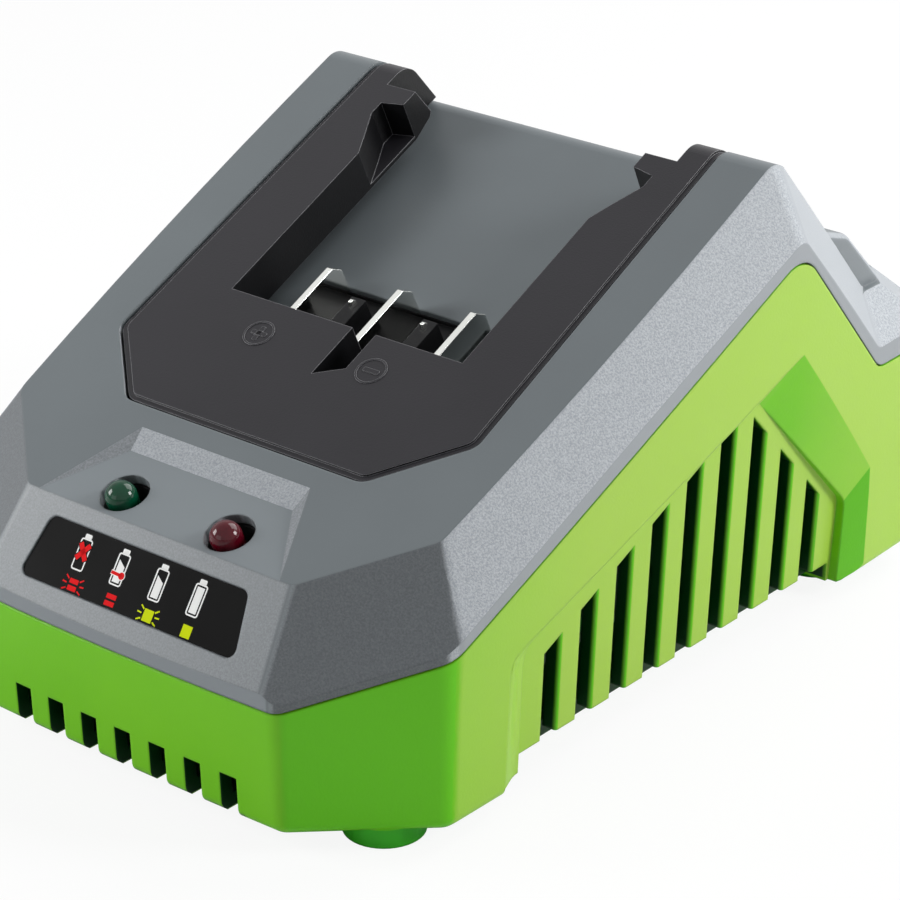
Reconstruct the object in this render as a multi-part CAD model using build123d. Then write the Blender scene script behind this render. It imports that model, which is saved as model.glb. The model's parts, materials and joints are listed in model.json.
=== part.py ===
"""Power tool battery charger: a two-part moulded housing with a sloping slide-on battery dock.

Frame: X across (right is +X), Y from the front (-Y) to the cord side (+Y), Z up.
The origin is the middle of the footprint, on the surface that the feet stand on.
"""

from build123d import *
from math import cos, radians, sin, sqrt, tan
import os

# ---- overall form (mm) ----
FOOT_HEIGHT = 3.0
FRONT_Y = -72.75          # foot of the front wall
REAR_Y = 72.4             # foot of the rear wall
FRONT_HALF_WIDTH = 30.8   # front wall between its corner chamfers
CHAMFER_Y = -55.85        # where the front chamfers meet the side walls
SIDE_HALF_FRONT = 48.9    # side walls bow out between these three half widths
SIDE_HALF_MID = 49.5
SIDE_HALF_REAR = 48.7
REAR_CHAMFER = 5.8
FRONT_BOW = 0.5
DRAFT = 2.5               # walls lean out by this angle, in degrees
CORNER_RADIUS = 3.5
WALL = 2.4
FLOOR = 2.5
FOOT_EDGE = 2.0           # round edge between the walls and the underside

# ---- side profile: main slope, ridge, rear slope and ledge ----
MAIN_ANGLE = 24.81
MAIN_Y = -50.75           # front edge of the main slope
MAIN_Z = 45.8
REAR_ANGLE = 47.33
RIDGE_S = 86.9            # ridge, measured up the main slope
RIDGE_RADIUS = 4.5
LEDGE_Z = 51.7
LEDGE_Y = 66.0            # rear edge of the ledge's flat top
COVER_DEPTH = 10.75       # the seam runs this far below the slopes, square to them
LEDGE_DEPTH = 10.5
VALLEY_RADIUS = 4.0
SEAM_RADIUS = 7.0

# ---- cover bevels ----
BOW_RADIUS = 1016.0       # plan curve of the slopes' side edges
BOW_CENTRE_S = 64.0
EDGE_HALF = 44.85
SIDE_BEVEL = 7.4 / 8.05   # outward run for each millimetre of depth
REAR_BEVEL = 7.4 / 8.9
LEDGE_BEVEL = 0.9
PANEL_HALF_TOP = 27.0     # top edge of the front panel
PANEL_TOP_Y = -64.75
PANEL_TOP_Z = 39.3
PANEL_ANGLE = 55.2
FACET_HALF = 42.6         # where a corner facet meets the side bevel
FACET_LOW = (40.25, -63.9, 30.6)

REACH = 300.0             # longer than the charger, for cutting tools
SEAM_GAP = 0.35
TONGUE = 1.5
RIM = 1.2


def slope_plane():
    """Main slope: x across, y up the slope, z out of it."""
    a = radians(MAIN_ANGLE)
    return Plane(origin=(0, MAIN_Y, MAIN_Z), x_dir=(1, 0, 0), z_dir=(0, -sin(a), cos(a)))


def rear_plane():
    """Rear slope: origin on the ridge, y down the slope, z out of it."""
    a = radians(REAR_ANGLE)
    ridge = slope_plane().from_local_coords(Vector(0, RIDGE_S, 0))
    return Plane(origin=ridge, x_dir=(1, 0, 0), z_dir=(0, sin(a), cos(a)))


MAIN = slope_plane()
REAR = rear_plane()


def above(plane):
    """Everything on the outer side of a plane."""
    return plane * Box(REACH, REACH, REACH, align=(Align.CENTER, Align.CENTER, Align.MIN))


def bow(distance):
    """How far an edge has curved in, this far from the middle of its bow."""
    return BOW_RADIUS - sqrt(BOW_RADIUS**2 - distance**2)


def plan_face(inset=0.0):
    """Footprint of the walls at the tub's underside."""
    mid_y = (CHAMFER_Y + REAR_Y - REAR_CHAMFER) / 2
    rear_x = SIDE_HALF_REAR - REAR_CHAMFER
    side_end = REAR_Y - REAR_CHAMFER
    edges = []
    for s in (1, -1):
        edges.append(Line((s * FRONT_HALF_WIDTH, FRONT_Y), (s * SIDE_HALF_FRONT, CHAMFER_Y)))
        edges.append(
            ThreePointArc(
                (s * SIDE_HALF_FRONT, CHAMFER_Y),
                (s * SIDE_HALF_MID, mid_y),
                (s * SIDE_HALF_REAR, side_end),
            )
        )
        edges.append(Line((s * SIDE_HALF_REAR, side_end), (s * rear_x, REAR_Y)))
    edges.append(Line((rear_x, REAR_Y), (-rear_x, REAR_Y)))
    edges.append(
        ThreePointArc(
            (-FRONT_HALF_WIDTH, FRONT_Y), (0, FRONT_Y - FRONT_BOW), (FRONT_HALF_WIDTH, FRONT_Y)
        )
    )
    face = make_face(edges)
    face = fillet(face.vertices(), CORNER_RADIUS)
    return offset(face, -inset) if inset else face


def wall_prism(inset=0.0, base=FOOT_HEIGHT):
    """Drafted prism of the walls, from the underside up."""
    face = Plane.XY.offset(base) * plan_face(inset)
    return extrude(face, amount=90, taper=-DRAFT)


def bowed_face(plane, middle, half):
    """Long face whose two sides follow the plan bow of the housing."""
    span = REACH * 0.4
    end = half - bow(span)
    low, high = middle - span, middle + span
    edges = [
        ThreePointArc((end, low), (half, middle), (end, high)),
        Line((end, high), (-end, high)),
        ThreePointArc((-end, high), (-half, middle), (-end, low)),
        Line((-end, low), (end, low)),
    ]
    return (plane * make_face(edges)).face()


def bevelled_slab(plane, middle, half, bevel):
    """Space under a slope, between its two side bevels."""
    depth = REACH * 0.3
    top = bowed_face(plane, middle, half)
    low = bowed_face(plane.offset(-depth), middle, half + bevel * depth)
    return loft([top, low], ruled=True)


def ledge_face(height, grow, half):
    rear = LEDGE_Y + grow
    side = half + grow
    corner = REAR_CHAMFER
    return (
        Plane.XY.offset(height)
        * make_face(
            Polyline(
                (-side, -REACH / 3),
                (side, -REACH / 3),
                (side, rear - corner),
                (side - corner, rear),
                (corner - side, rear),
                (-side, rear - corner),
                close=True,
            )
        )
    ).face()


def ledge_block(drop, half):
    """Space under the ledge at the rear, between its bevels."""
    depth = LEDGE_Z * 0.85
    top = ledge_face(LEDGE_Z - drop, 0, half)
    low = ledge_face(LEDGE_Z - drop - depth, depth * LEDGE_BEVEL, half)
    return loft([top, low], ruled=True)


def edge_near(solid, x, y, z):
    """The edge whose middle lies nearest a point."""
    return min(solid.edges(), key=lambda e: (e.center() - Vector(x, y, z)).length)


def facet_plane(side, drop):
    """One flat corner between the front panel and a side bevel."""
    a = Vector(side * PANEL_HALF_TOP, PANEL_TOP_Y, PANEL_TOP_Z)
    b = Vector(side * FACET_HALF, MAIN_Y, MAIN_Z)
    c = Vector(side * FACET_LOW[0], FACET_LOW[1], FACET_LOW[2])
    normal = (b - a).cross(c - a)
    if normal.Z < 0:
        normal = normal * -1
    return Plane(origin=a, x_dir=b - a, z_dir=normal).offset(-drop)


def front_panel_plane():
    a = radians(PANEL_ANGLE)
    return Plane(
        origin=(0, PANEL_TOP_Y, PANEL_TOP_Z), x_dir=(1, 0, 0), z_dir=(0, -sin(a), cos(a))
    )


PANEL = front_panel_plane()


def envelope(inset=0.0):
    """Outside of the closed housing, or that form shrunk by a wall's thickness."""
    half = EDGE_HALF - inset / 2
    ridge_half = half - bow(RIDGE_S - BOW_CENTRE_S)
    main = bevelled_slab(MAIN.offset(-inset), BOW_CENTRE_S, half, SIDE_BEVEL)
    rear = bevelled_slab(REAR.offset(-inset), 0, ridge_half, REAR_BEVEL)
    ledge = ledge_block(inset, ridge_half)
    body = wall_prism(inset) & main & (rear + ledge)
    body -= above(PANEL.offset(-inset))
    for side in (1, -1):
        body -= above(facet_plane(side, inset))
    return body


# ---- tub details ----
VENT_PITCH = 7.1          # front vents
VENT_WIDTH = 3.25
VENT_TOP = 10.0
VENT_RUN = 11.0           # how far the vents run on under the floor
FRONT_VENTS = 7
RECESS_HALF = 46.0        # outer face of the slotted side panel
RECESS_FRONT = -43.6
RECESS_TOP = ((-43.5, 26.3), (-38.0, 28.5), (17.6, 48.0))   # upper edge of the side recess
PANEL_THICKNESS = 2.6
PANEL_BOTTOM = 6.4
FLOOR_EDGE = 40.6         # the floor ends here, beside the slotted panel
BACKING = (               # solid wall behind the recess, in the side view
    (-46.0, 3.5),
    (-46.0, 30.0),
    (20.8, 53.2),
    (30.0, 55.2),
    (59.0, 25.0),
    (59.0, 3.5),
)
# Rear band of the recess, row by row: its foot on the panel, its edge on the wall (y, z),
# and the step between the panel and the band.
BAND = (
    ((12.3, 53.1), (16.8, 64.0), 0.0),
    ((22.35, 43.05), (27.85, 52.1), 0.0),
    ((47.1, 18.3), (53.15, 24.7), 1.5),
    ((47.1, 14.0), (53.75, 20.0), 1.5),
    ((45.9, 0.0), (55.2, 0.0), 1.5),
)
BAND_REACH = 7.0          # the band's cutting tool runs this far out from the panel
RIDGE_TOP = 85.0
SLOT_PITCH = 8.6
SLOT_WIDTH = 3.9
SLOT_FIRST = -31.55
SLOT_EDGE = 0.6           # round on the front edge of each rib between the slots
FRONT_SLOTS = 6
REAR_SLOTS = 3
SLOT_TOP = 21.4           # front top corner of the first slot
REAR_SLOT_TOP = 42.4
REAR_SLOT_FALL = 1.0
FOOT_X = 37.3
FOOT_FRONT_Y = -57.1
FOOT_REAR_Y = 56.0
FOOT_RADIUS = 6.3
SCREW_HEAD_RADIUS = 3.0
SCREW_RADIUS = 1.5
PILLAR_RADIUS = 3.6
INLET_Z = 22.0
INLET_RADIUS = 4.2
INLET_LENGTH = 7.0
INLET_COLLAR = 8.5

# ---- dock insert, in the main slope's own x and s ----
INSERT_CORNER_X = 35.97
INSERT_CORNER_S = 17.75
INSERT_FRONT_X = 23.87
INSERT_FRONT_S = 5.49
INSERT_REAR_X = 34.95
INSERT_END_S = 100.0
INSERT_GAP = 0.45
FLANGE_WIDTH = 0.9
FLANGE_DROP = 0.4
PLATE = 3.0
RAIL_DEPTH = 7.7          # underside of the rails
CHANNEL_DEPTH = 10.3      # floor of the channel, in the cover
CHANNEL_HALF = 29.6       # the channel runs out under the rails to here
CHANNEL_END_S = 90.2      # here the channel's floor meets the rear slope, with a round edge
CHANNEL_ROUND = 3.5
DOCK_SOLID_X = 31.4       # outer side of the rails' thick inner walls
DOCK_SOLID_S = 28.6
WINDOW_S = 31.3
RAIL_X = 23.5
NECK = ((23.5, 65.1), (25.5, 69.6), (27.7, 74.2), (27.7, 76.8), (23.5, 77.6))
SHELF = 0.8               # thickness of the rail's foot under each pocket
HOOK_S = 77.7
HOOK_END_S = 81.0
HOOK_TIP = ((82.2, -6.4), (83.2, -5.0))   # underside of a hook's rear end, as (s, d)
ARCH_S = 82.0             # from here on the frame's side walls reach the channel's floor
NOTCH = ((1.7, 20.7), (6.4, 23.6), (6.4, 31.3), (1.7, 31.3))
NOTCH_WALL = 1.5
BOSS_X = 16.0             # two screw bosses under the front of the frame
BOSS_S = 13.0
BOSS_RADIUS = 2.4
BOSS_LENGTH = 2.2
PILOT_RADIUS = 0.9
PILOT_STOP = 1.2          # plastic left above a pilot hole
BLADE_SLOT_TOP = -3.8

# ---- terminals ----
BLADE_PITCH = 14.7
BLADE_THICKNESS = 1.15
BLADE_TOP = -4.2
BLADE_FRONT_S = 29.0
BLADE_REAR_S = 45.8
BLADE_CHAMFER = 1.7
BLADE_SLOT = 1.6          # slots that the blades pass through under the plate
BLOCK_HALF = 17.0
BLOCK_FRONT_S = 26.0
BLOCK_REAR_S = 49.0
BLOCK_TOP = -11.9
BLOCK_BOTTOM = -19.5
BLOCK_WALL = 1.5
SIGNAL_S = 39.9           # spring contacts between the blades
SIGNAL_TOP = -5.1
SIGNAL_THICKNESS = 0.6
HOLDER_FRONT_S = 31.8
HOLDER_REAR_S = 41.6
HOLDER_TOP = -6.2
HOLDER_HALF = 1.4
EAR_X = 22.0              # ears of the terminal block, screwed up under the channel's floor
EAR_S = 36.0
EAR_HALF = 3.4
EAR_THICKNESS = 2.5
EAR_DROP = 3.2
OPENING_REAR_S = 46.2
FLOOR_LIP = 1.0           # thin edge of the channel's floor over the terminal block

# ---- lamps and label ----
LAMP_X = 10.7
LAMP_S = -11.5
LAMP_RADIUS = 2.5
WELL_RADIUS = 3.95
WELL_S = -10.7
TRAY_BACK_X = 17.1
TRAY_BACK_S = 1.2
TRAY_FOOT_X = 16.5
TRAY_FOOT_S = -2.9
TRAY_DEPTH = 1.0
TRAY_FRONT_X = 24.6
TRAY_FRONT_S = -15.6
LABEL_HALF_TOP = 20.0
LABEL_HALF_LOW = 22.0
LABEL_TOP = -3.0          # down the front panel from its top edge
LABEL_LOW = -12.9
LABEL_THICKNESS = 0.3
LABEL_SINK = 0.5

# ---- rear hood ----
HOOD_HALF = 43.3
HOOD_PROFILE = (          # outline in the side view, as (y, z)
    (20.0, -40.0),
    (20.0, 40.0),
    (43.9, 65.1),
    (51.9, 62.4),
    (76.0, 38.4),
    (76.0, -40.0),
)
HOOD_RIM_Z = 45.0         # rims above this height are rounded
HOOD_RADIUS = 5.0
HOOD_EDGE = 1.2
FACET_RADIUS = 4.0

# ---- boards ----
BOARD_Z = 12.0
BOARD_THICKNESS = 1.6
BOARD_HALF = 38.0
BOARD_FRONT = -48.0
BOARD_REAR = 50.0
BOARD_SCREW_EDGE = 4.0    # screws stand this far in from the board's edges
LAMP_SEAT = -6.4          # indicator board's top, below the tray floor
TRAY_POST_X = 17.8
INDICATOR_BOARD = (42.0, 11.0, 1.6)
LEG_PITCH = 2.54
LEG_WIDTH = 0.5
CLAMP_Y = 57.5
CLAMP_Z = 22.5
CLAMP_SCREW_X = 9.0
CLAMP_SIZE = (25.0, 8.0, 3.5)
CORD_GROOVE = 3.6
HEATSINK_PLATE = 2.0
FIN_OFFSET = 2.4
FIN_LENGTH = 3.6
FIN_THICKNESS = 1.2
FINS = 5
TRANSFORMER = (-6.0, 2.0)
CHOKE = (6.0, 34.0)
FUSE = (-22.0, 41.0)


def side_profile(points, radii=None):
    """Closed outline in the side view, cut across the whole width."""
    face = make_face(Polyline(*points, close=True))
    if radii:
        for index, radius in radii.items():
            corner = Vector(points[index][0], points[index][1], 0)
            face = fillet(min(face.vertices(), key=lambda v: (Vector(v) - corner).length), radius)
    return extrude(Plane.YZ * face, amount=REACH / 2, both=True)


def seam_points():
    """Seam line between tub and cover, as (y, z) from front to rear."""
    t, r = radians(MAIN_ANGLE), radians(REAR_ANGLE)
    main_base = MAIN_Z - MAIN_Y * tan(t) - COVER_DEPTH / cos(t)
    rear_base = REAR.origin.Z + REAR.origin.Y * tan(r) - COVER_DEPTH / cos(r)
    level = LEDGE_Z - LEDGE_DEPTH
    apex_y = (rear_base - main_base) / (tan(t) + tan(r))
    foot_y = (rear_base - level) / tan(r)
    front = -REACH / 2
    return (
        (front, main_base + front * tan(t)),
        (apex_y, main_base + apex_y * tan(t)),
        (foot_y, level),
        (REACH / 2, level),
    )


def under_seam(shift=0.0):
    """Everything below the seam, moved up or down."""
    top = seam_points()
    points = (*top, (REACH / 2, -REACH), (-REACH / 2, -REACH))
    return Pos(0, 0, shift) * side_profile(points, {1: SEAM_RADIUS, 2: SEAM_RADIUS * 0.6})


def local_box(plane, x0, x1, y0, y1, z0, z1):
    """Box given by its limits in a plane's own frame."""
    box = Box(x1 - x0, y1 - y0, z1 - z0, align=(Align.MIN, Align.MIN, Align.MIN))
    return plane * Pos(x0, y0, z0) * box


def local_prism(plane, points, z0, z1):
    """Outline on a plane, extruded between two heights above it."""
    face = make_face(Polyline(*points, close=True))
    return extrude(plane.offset(z0) * face, amount=z1 - z0)


def post(x, y, z0, z1, radius):
    return Pos(x, y, z0) * Cylinder(
        radius, z1 - z0, align=(Align.CENTER, Align.CENTER, Align.MIN)
    )


def foot_places():
    return [(s * FOOT_X, y) for y in (FOOT_FRONT_Y, FOOT_REAR_Y) for s in (1, -1)]


def board_places():
    edge = BOARD_SCREW_EDGE
    rows = (BOARD_FRONT + edge, BOARD_REAR - edge)
    return [(s * (BOARD_HALF - edge), y) for y in rows for s in (1, -1)]


def slot_top(index):
    """Front corner of a slot's slanted top, and the fall of that top for each millimetre."""
    y = SLOT_FIRST + index * SLOT_PITCH
    if index < FRONT_SLOTS:
        rise = tan(radians(MAIN_ANGLE))
        return y, SLOT_TOP + index * SLOT_PITCH * rise, -rise
    fall = REAR_SLOT_FALL
    return y, REAR_SLOT_TOP - (index - FRONT_SLOTS) * SLOT_PITCH * fall, fall


def slot_cut(side, index):
    """Side slot open at its foot, with the rib behind it rounded on its outer edge."""
    y, top, fall = slot_top(index)
    rear = y + SLOT_WIDTH
    face = RECESS_HALF
    inner, outer = face - PANEL_THICKNESS - 1, face + 3
    turn = SLOT_EDGE * (1 - sqrt(0.5))
    section = make_face(
        [
            Line((inner, y), (outer, y)),
            Line((outer, y), (outer, rear + SLOT_EDGE)),
            Line((outer, rear + SLOT_EDGE), (face, rear + SLOT_EDGE)),
            ThreePointArc(
                (face, rear + SLOT_EDGE), (face - turn, rear + turn), (face - SLOT_EDGE, rear)
            ),
            Line((face - SLOT_EDGE, rear), (inner, rear)),
            Line((inner, rear), (inner, y)),
        ]
    )
    if side < 0:
        section = mirror(section, Plane.YZ)
    start, end = y - 1, rear + 2
    roof = side_profile(
        ((start, -1.0), (start, top + fall), (end, top - fall * (end - y)), (end, -1.0))
    )
    return lean(extrude(section, amount=REACH / 2) & roof, side)


def lean(solid, side):
    """Tilt a vertical side tool to the walls' draft, about the tub's underside."""
    axis = Axis((side * RECESS_HALF, 0, FOOT_HEIGHT), (0, 1, 0))
    return solid.rotate(axis, side * DRAFT)


def side_tool(side, x0, x1, outline, radii=None):
    """Outline in the side view, cut from x0 to x1 on one side and leant to the draft."""
    tool = side_profile(outline, radii)
    low, high = sorted((side * x0, side * x1))
    block = Pos(low, 0, 0) * Box(
        high - low, REACH, REACH, align=(Align.MIN, Align.CENTER, Align.CENTER)
    )
    return lean(tool & block, side)


def recess_cut(side):
    """Deep side recess with a flat slotted panel."""
    foot = -20.0
    outline = (
        (RECESS_FRONT, foot),
        *RECESS_TOP,
        BAND[2][0],
        BAND[3][0],
        (BAND[4][0][0], foot),
    )
    return side_tool(side, RECESS_HALF, RECESS_HALF + 13, outline, {1: 3.0, 4: 3.0})


def band_rows(depth):
    """Points of the rear band at a distance out from the panel."""
    wall = SIDE_HALF_MID - RECESS_HALF
    rows = []
    for foot, edge, step in BAND:
        share = (depth - step) / (wall - step)
        rows.append(tuple(a + (b - a) * share for a, b in zip(foot, edge)))
    return rows


def band_cut(side):
    """Sloping rear band, from the panel's edge out to the wall."""
    faces = []
    for depth in (0, BAND_REACH):
        points = [(FRONT_Y, BAND[-1][0][1]), (FRONT_Y, RIDGE_TOP), *band_rows(depth)]
        face = make_face(Polyline(*points, close=True))
        x = side * (RECESS_HALF + depth)
        faces.append((Plane(origin=(x, 0, 0), x_dir=(0, 1, 0), z_dir=(1, 0, 0)) * face).face())
    start, end = RECESS_TOP[1], RECESS_TOP[2]
    rise = (end[1] - start[1]) / (end[0] - start[0])
    roof = side_profile(
        (
            (0, -1.0),
            (0, end[1] - end[0] * rise),
            (REAR_Y, end[1] + (REAR_Y - end[0]) * rise),
            (REAR_Y, -1.0),
        )
    )
    return lean(loft(faces, ruled=True) & roof, side)


def foot_gap(side):
    """Long opening between the floor's edge and the foot of the slotted panel."""
    rear = BAND[-1][0][0]
    outline = (
        (RECESS_FRONT, -1.0),
        (RECESS_FRONT, PANEL_BOTTOM),
        (rear, PANEL_BOTTOM),
        (rear, -1.0),
    )
    return side_tool(side, FLOOR_EDGE, RECESS_HALF + 8, outline)


def base_housing():
    """Lower tub: drafted walls, floor, feet, slotted side recesses and front vents."""
    outer = wall_prism() & under_seam(-SEAM_GAP / 2)
    outer = fillet(outer.edges().group_by(Axis.Z)[0], FOOT_EDGE)
    tongue = wall_prism(RIM) & under_seam(TONGUE)
    hollow = wall_prism(WALL, FOOT_HEIGHT + FLOOR)
    tub = (outer + tongue) - hollow
    for side in (1, -1):
        backing = side_tool(
            side,
            RECESS_HALF - PANEL_THICKNESS,
            SIDE_HALF_MID + 1,
            (
                *BACKING,
            ),
        )
        tub += backing & outer
        tub -= recess_cut(side)
        tub -= band_cut(side)
        tub -= foot_gap(side)
        for index in range(FRONT_SLOTS + REAR_SLOTS):
            tub -= slot_cut(side, index)
    for index in range(FRONT_VENTS):
        x = (index - FRONT_VENTS // 2) * VENT_PITCH
        tub -= Pos(x, FRONT_Y - 3, 0) * Box(
            VENT_WIDTH, 3 + VENT_RUN, VENT_TOP, align=(Align.CENTER, Align.MIN, Align.MIN)
        )
    for x, y in foot_places():
        tub += post(x, y, 0, FOOT_HEIGHT + FLOOR, FOOT_RADIUS)
        tub += post(x, y, FOOT_HEIGHT, 20.0, PILLAR_RADIUS + 1.6) & wall_prism()
    for x, y in foot_places():
        tub -= post(x, y, 0, 14.0, SCREW_HEAD_RADIUS + 0.3)
        tub -= post(x, y, 0, 30.0, SCREW_RADIUS + 0.2)
    for x, y in board_places():
        tub += post(x, y, FOOT_HEIGHT, BOARD_Z, 3.0)
        tub -= post(x, y, FOOT_HEIGHT + FLOOR, BOARD_Z + 1, 1.0)
    tub += cord_saddle()
    tub += cord_collar()
    tub -= inlet_bore()
    return tub


def cord_saddle():
    """Two posts and a grooved rib that the cord clamp screws down to."""
    low = FOOT_HEIGHT + FLOOR - 0.5
    rib = Pos(0, CLAMP_Y, low) * Box(
        12, 4, INLET_Z - low - 1, align=(Align.CENTER, Align.CENTER, Align.MIN)
    )
    rib -= along_cord(CLAMP_Y) * Cylinder(CORD_GROOVE, 20)
    for side in (1, -1):
        rib += post(side * CLAMP_SCREW_X, CLAMP_Y, low, CLAMP_Z, 3.2)
        rib -= post(side * CLAMP_SCREW_X, CLAMP_Y, 14.0, CLAMP_Z + 1, 1.1)
    return rib


def along_cord(y):
    """Plane square to the cord's way through the rear wall."""
    return Plane(origin=(0, y, INLET_Z), x_dir=(1, 0, 0), z_dir=(0, 1, 0))


def cord_collar():
    """Thick round boss on the inside of the rear wall, round the cord's bore."""
    start = REAR_Y + 1.0 - INLET_LENGTH
    boss = along_cord(start) * Cylinder(
        INLET_COLLAR, INLET_LENGTH, align=(Align.CENTER, Align.CENTER, Align.MIN)
    )
    return boss & wall_prism()


def inlet_bore():
    return along_cord(REAR_Y - 20) * Cylinder(
        INLET_RADIUS, 30, align=(Align.CENTER, Align.CENTER, Align.MIN)
    )


def hood():
    """Raised hood across the rear slope, running down over the ledge."""
    face = make_face(Polyline(*HOOD_PROFILE, close=True))
    corner = Vector(*HOOD_PROFILE[3], 0)
    face = fillet(min(face.vertices(), key=lambda v: (Vector(v) - corner).length), HOOD_RADIUS)
    block = extrude(Plane.YZ * face, amount=HOOD_HALF, both=True)
    sides = block.faces().filter_by(Axis.X)
    rims = [edge for side in sides for edge in side.edges() if edge.center().Z > HOOD_RIM_Z]
    return fillet(rims, HOOD_EDGE) & wall_prism()


def outer_form():
    """The closed housing with its ridge, valley and edges rounded."""
    body = envelope().solids()[0]
    ridge = REAR.origin
    chain = [edge_near(body, 0, ridge.Y, ridge.Z)]
    chain += [edge_near(body, s * 48.5, ridge.Y - 1.5, ridge.Z - 5.3) for s in (1, -1)]
    body = body.fillet(RIDGE_RADIUS, chain)
    valley = [edge_near(body, 0, 56.3, LEDGE_Z)]
    valley += [edge_near(body, s * 47.7, 53.0, LEDGE_Z - 3.5) for s in (1, -1)]
    body = body.fillet(VALLEY_RADIUS, valley)
    facets = [edge_near(body, s * 27.9, -69.2, 32.8) for s in (1, -1)]
    facets += [edge_near(body, s * 46.5, -53.0, 40.0) for s in (1, -1)]
    body = body.fillet(FACET_RADIUS, facets)
    return Part() + body + hood()


def insert_outline(grow=0.0):
    slope = (INSERT_CORNER_X - INSERT_REAR_X) / (85.0 - INSERT_CORNER_S)
    end_x = INSERT_CORNER_X - slope * (INSERT_END_S - INSERT_CORNER_S)
    half = (
        (INSERT_FRONT_X, INSERT_FRONT_S),
        (INSERT_CORNER_X, INSERT_CORNER_S),
        (end_x, INSERT_END_S),
    )
    points = [(x, s) for x, s in half] + [(-x, s) for x, s in reversed(half)]
    face = make_face(Polyline(*points, close=True))
    low = [v for v in face.vertices() if v.Y < INSERT_CORNER_S + 1]
    face = fillet(low, 3.0)
    return offset(face, grow) if grow else face


def insert_slab(grow, low, high):
    return extrude(MAIN.offset(low) * insert_outline(grow), amount=high - low)


def window_points():
    half = ((RAIL_X, WINDOW_S), *NECK, (RAIL_X, INSERT_END_S + 1))
    return [(x, s) for x, s in half] + [(-x, s) for x, s in reversed(half)]


def notch_block(gap=0.0):
    """Thick surround of the notch, down to the rails' depth."""
    low_x = NOTCH[0][0] - NOTCH_WALL - gap
    high_x = NOTCH[1][0] + NOTCH_WALL + gap
    return local_box(
        MAIN, low_x, high_x, NOTCH[0][1] - NOTCH_WALL - gap, WINDOW_S, -RAIL_DEPTH - gap, -PLATE
    )


def blade_places():
    return [index * BLADE_PITCH for index in (-1, 0, 1)]


def dock_insert(form):
    """Black frame round the dock: a flush plate with a U of rails and two hooks."""
    flange = insert_slab(0, -PLATE, 6) & (Pos(0, 0, -FLANGE_DROP) * form)
    raised = insert_slab(-FLANGE_WIDTH, -PLATE, 6) & form
    side = DOCK_SOLID_X
    rails = local_box(MAIN, -side, side, DOCK_SOLID_S, INSERT_END_S, -RAIL_DEPTH, -PLATE + 0.5)
    rails += local_box(MAIN, -side, side, ARCH_S, INSERT_END_S, -CHANNEL_DEPTH, -PLATE)
    body = flange + raised + (rails & form) + notch_block()
    body -= local_prism(MAIN, window_points(), SHELF - RAIL_DEPTH, 8)
    body -= local_box(MAIN, -RAIL_X, RAIL_X, WINDOW_S, INSERT_END_S + 1, -CHANNEL_DEPTH - 1, 0)
    body -= local_prism(MAIN, NOTCH, -RAIL_DEPTH - 1, 2)
    for x in blade_places():
        half = BLADE_SLOT / 2
        front, rear = DOCK_SOLID_S - 1, WINDOW_S + 1
        low = -RAIL_DEPTH - 1
        body -= local_box(MAIN, x - half, x + half, front, rear, low, BLADE_SLOT_TOP)
    body -= hook_cut()
    for x, s in insert_screw_places():
        body += MAIN * post(x, s, -PLATE - BOSS_LENGTH, -PLATE + 0.1, BOSS_RADIUS)
        body -= MAIN * post(x, s, -PLATE - BOSS_LENGTH - 1, -PILOT_STOP, PILOT_RADIUS)
    return body


def hook_cut():
    """Space behind the hooks, parallel to the rear slope, and below their tips."""
    origin = MAIN.from_local_coords(Vector(0, HOOK_END_S, 0))
    end = Plane(origin=origin, x_dir=(1, 0, 0), z_dir=REAR.z_dir)
    space = local_box(end, -CHANNEL_HALF, CHANNEL_HALF, -12, 40, 0, 15)
    under = (
        (HOOK_S, -CHANNEL_DEPTH - 1),
        (HOOK_S, -RAIL_DEPTH),
        *HOOK_TIP,
        (HOOK_TIP[1][0] + 20, HOOK_TIP[1][1]),
        (HOOK_TIP[1][0] + 20, -CHANNEL_DEPTH - 1),
    )
    return space + upright(under, 0, 2 * CHANNEL_HALF)


def insert_screw_places():
    return [(s * BOSS_X, BOSS_S) for s in (1, -1)]


def tray_cut():
    """Shallow sloping tray for the two lamps, open to the front panel."""
    def at(x, s, d):
        return MAIN.from_local_coords(Vector(x, s, d))

    def through(a, b, c, inside):
        normal = (b - a).cross(c - a)
        if normal.dot(inside - a) > 0:
            normal = normal * -1
        return Plane(origin=a, x_dir=b - a, z_dir=normal)

    inside = at(0, -8, 1)
    block = local_box(MAIN, -40, 40, -30, 20, -10, 10)
    floor = through(
        at(TRAY_FOOT_X, TRAY_FOOT_S, -TRAY_DEPTH),
        at(-TRAY_FOOT_X, TRAY_FOOT_S, -TRAY_DEPTH),
        at(TRAY_FRONT_X, TRAY_FRONT_S, 0),
        inside,
    )
    back = through(
        at(TRAY_FOOT_X, TRAY_FOOT_S, -TRAY_DEPTH),
        at(-TRAY_FOOT_X, TRAY_FOOT_S, -TRAY_DEPTH),
        at(TRAY_BACK_X, TRAY_BACK_S, 0),
        inside,
    )
    block -= above(floor)
    block -= above(back)
    for side in (1, -1):
        wall = through(
            at(side * TRAY_FOOT_X, TRAY_FOOT_S, -TRAY_DEPTH),
            at(side * TRAY_FRONT_X, TRAY_FRONT_S, 0),
            at(side * TRAY_BACK_X, TRAY_BACK_S, 0),
            inside,
        )
        block -= above(wall)
    return block


def tray_plane():
    """Floor of the lamp tray, its origin midway between the lamp wells."""
    fall = TRAY_DEPTH / (TRAY_FOOT_S - TRAY_FRONT_S)
    depth = (WELL_S - TRAY_FRONT_S) * fall
    origin = MAIN.from_local_coords(Vector(0, WELL_S, -depth))
    a = radians(MAIN_ANGLE) - fall
    return Plane(origin=origin, x_dir=(1, 0, 0), z_dir=(0, -sin(a), cos(a)))


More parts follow.
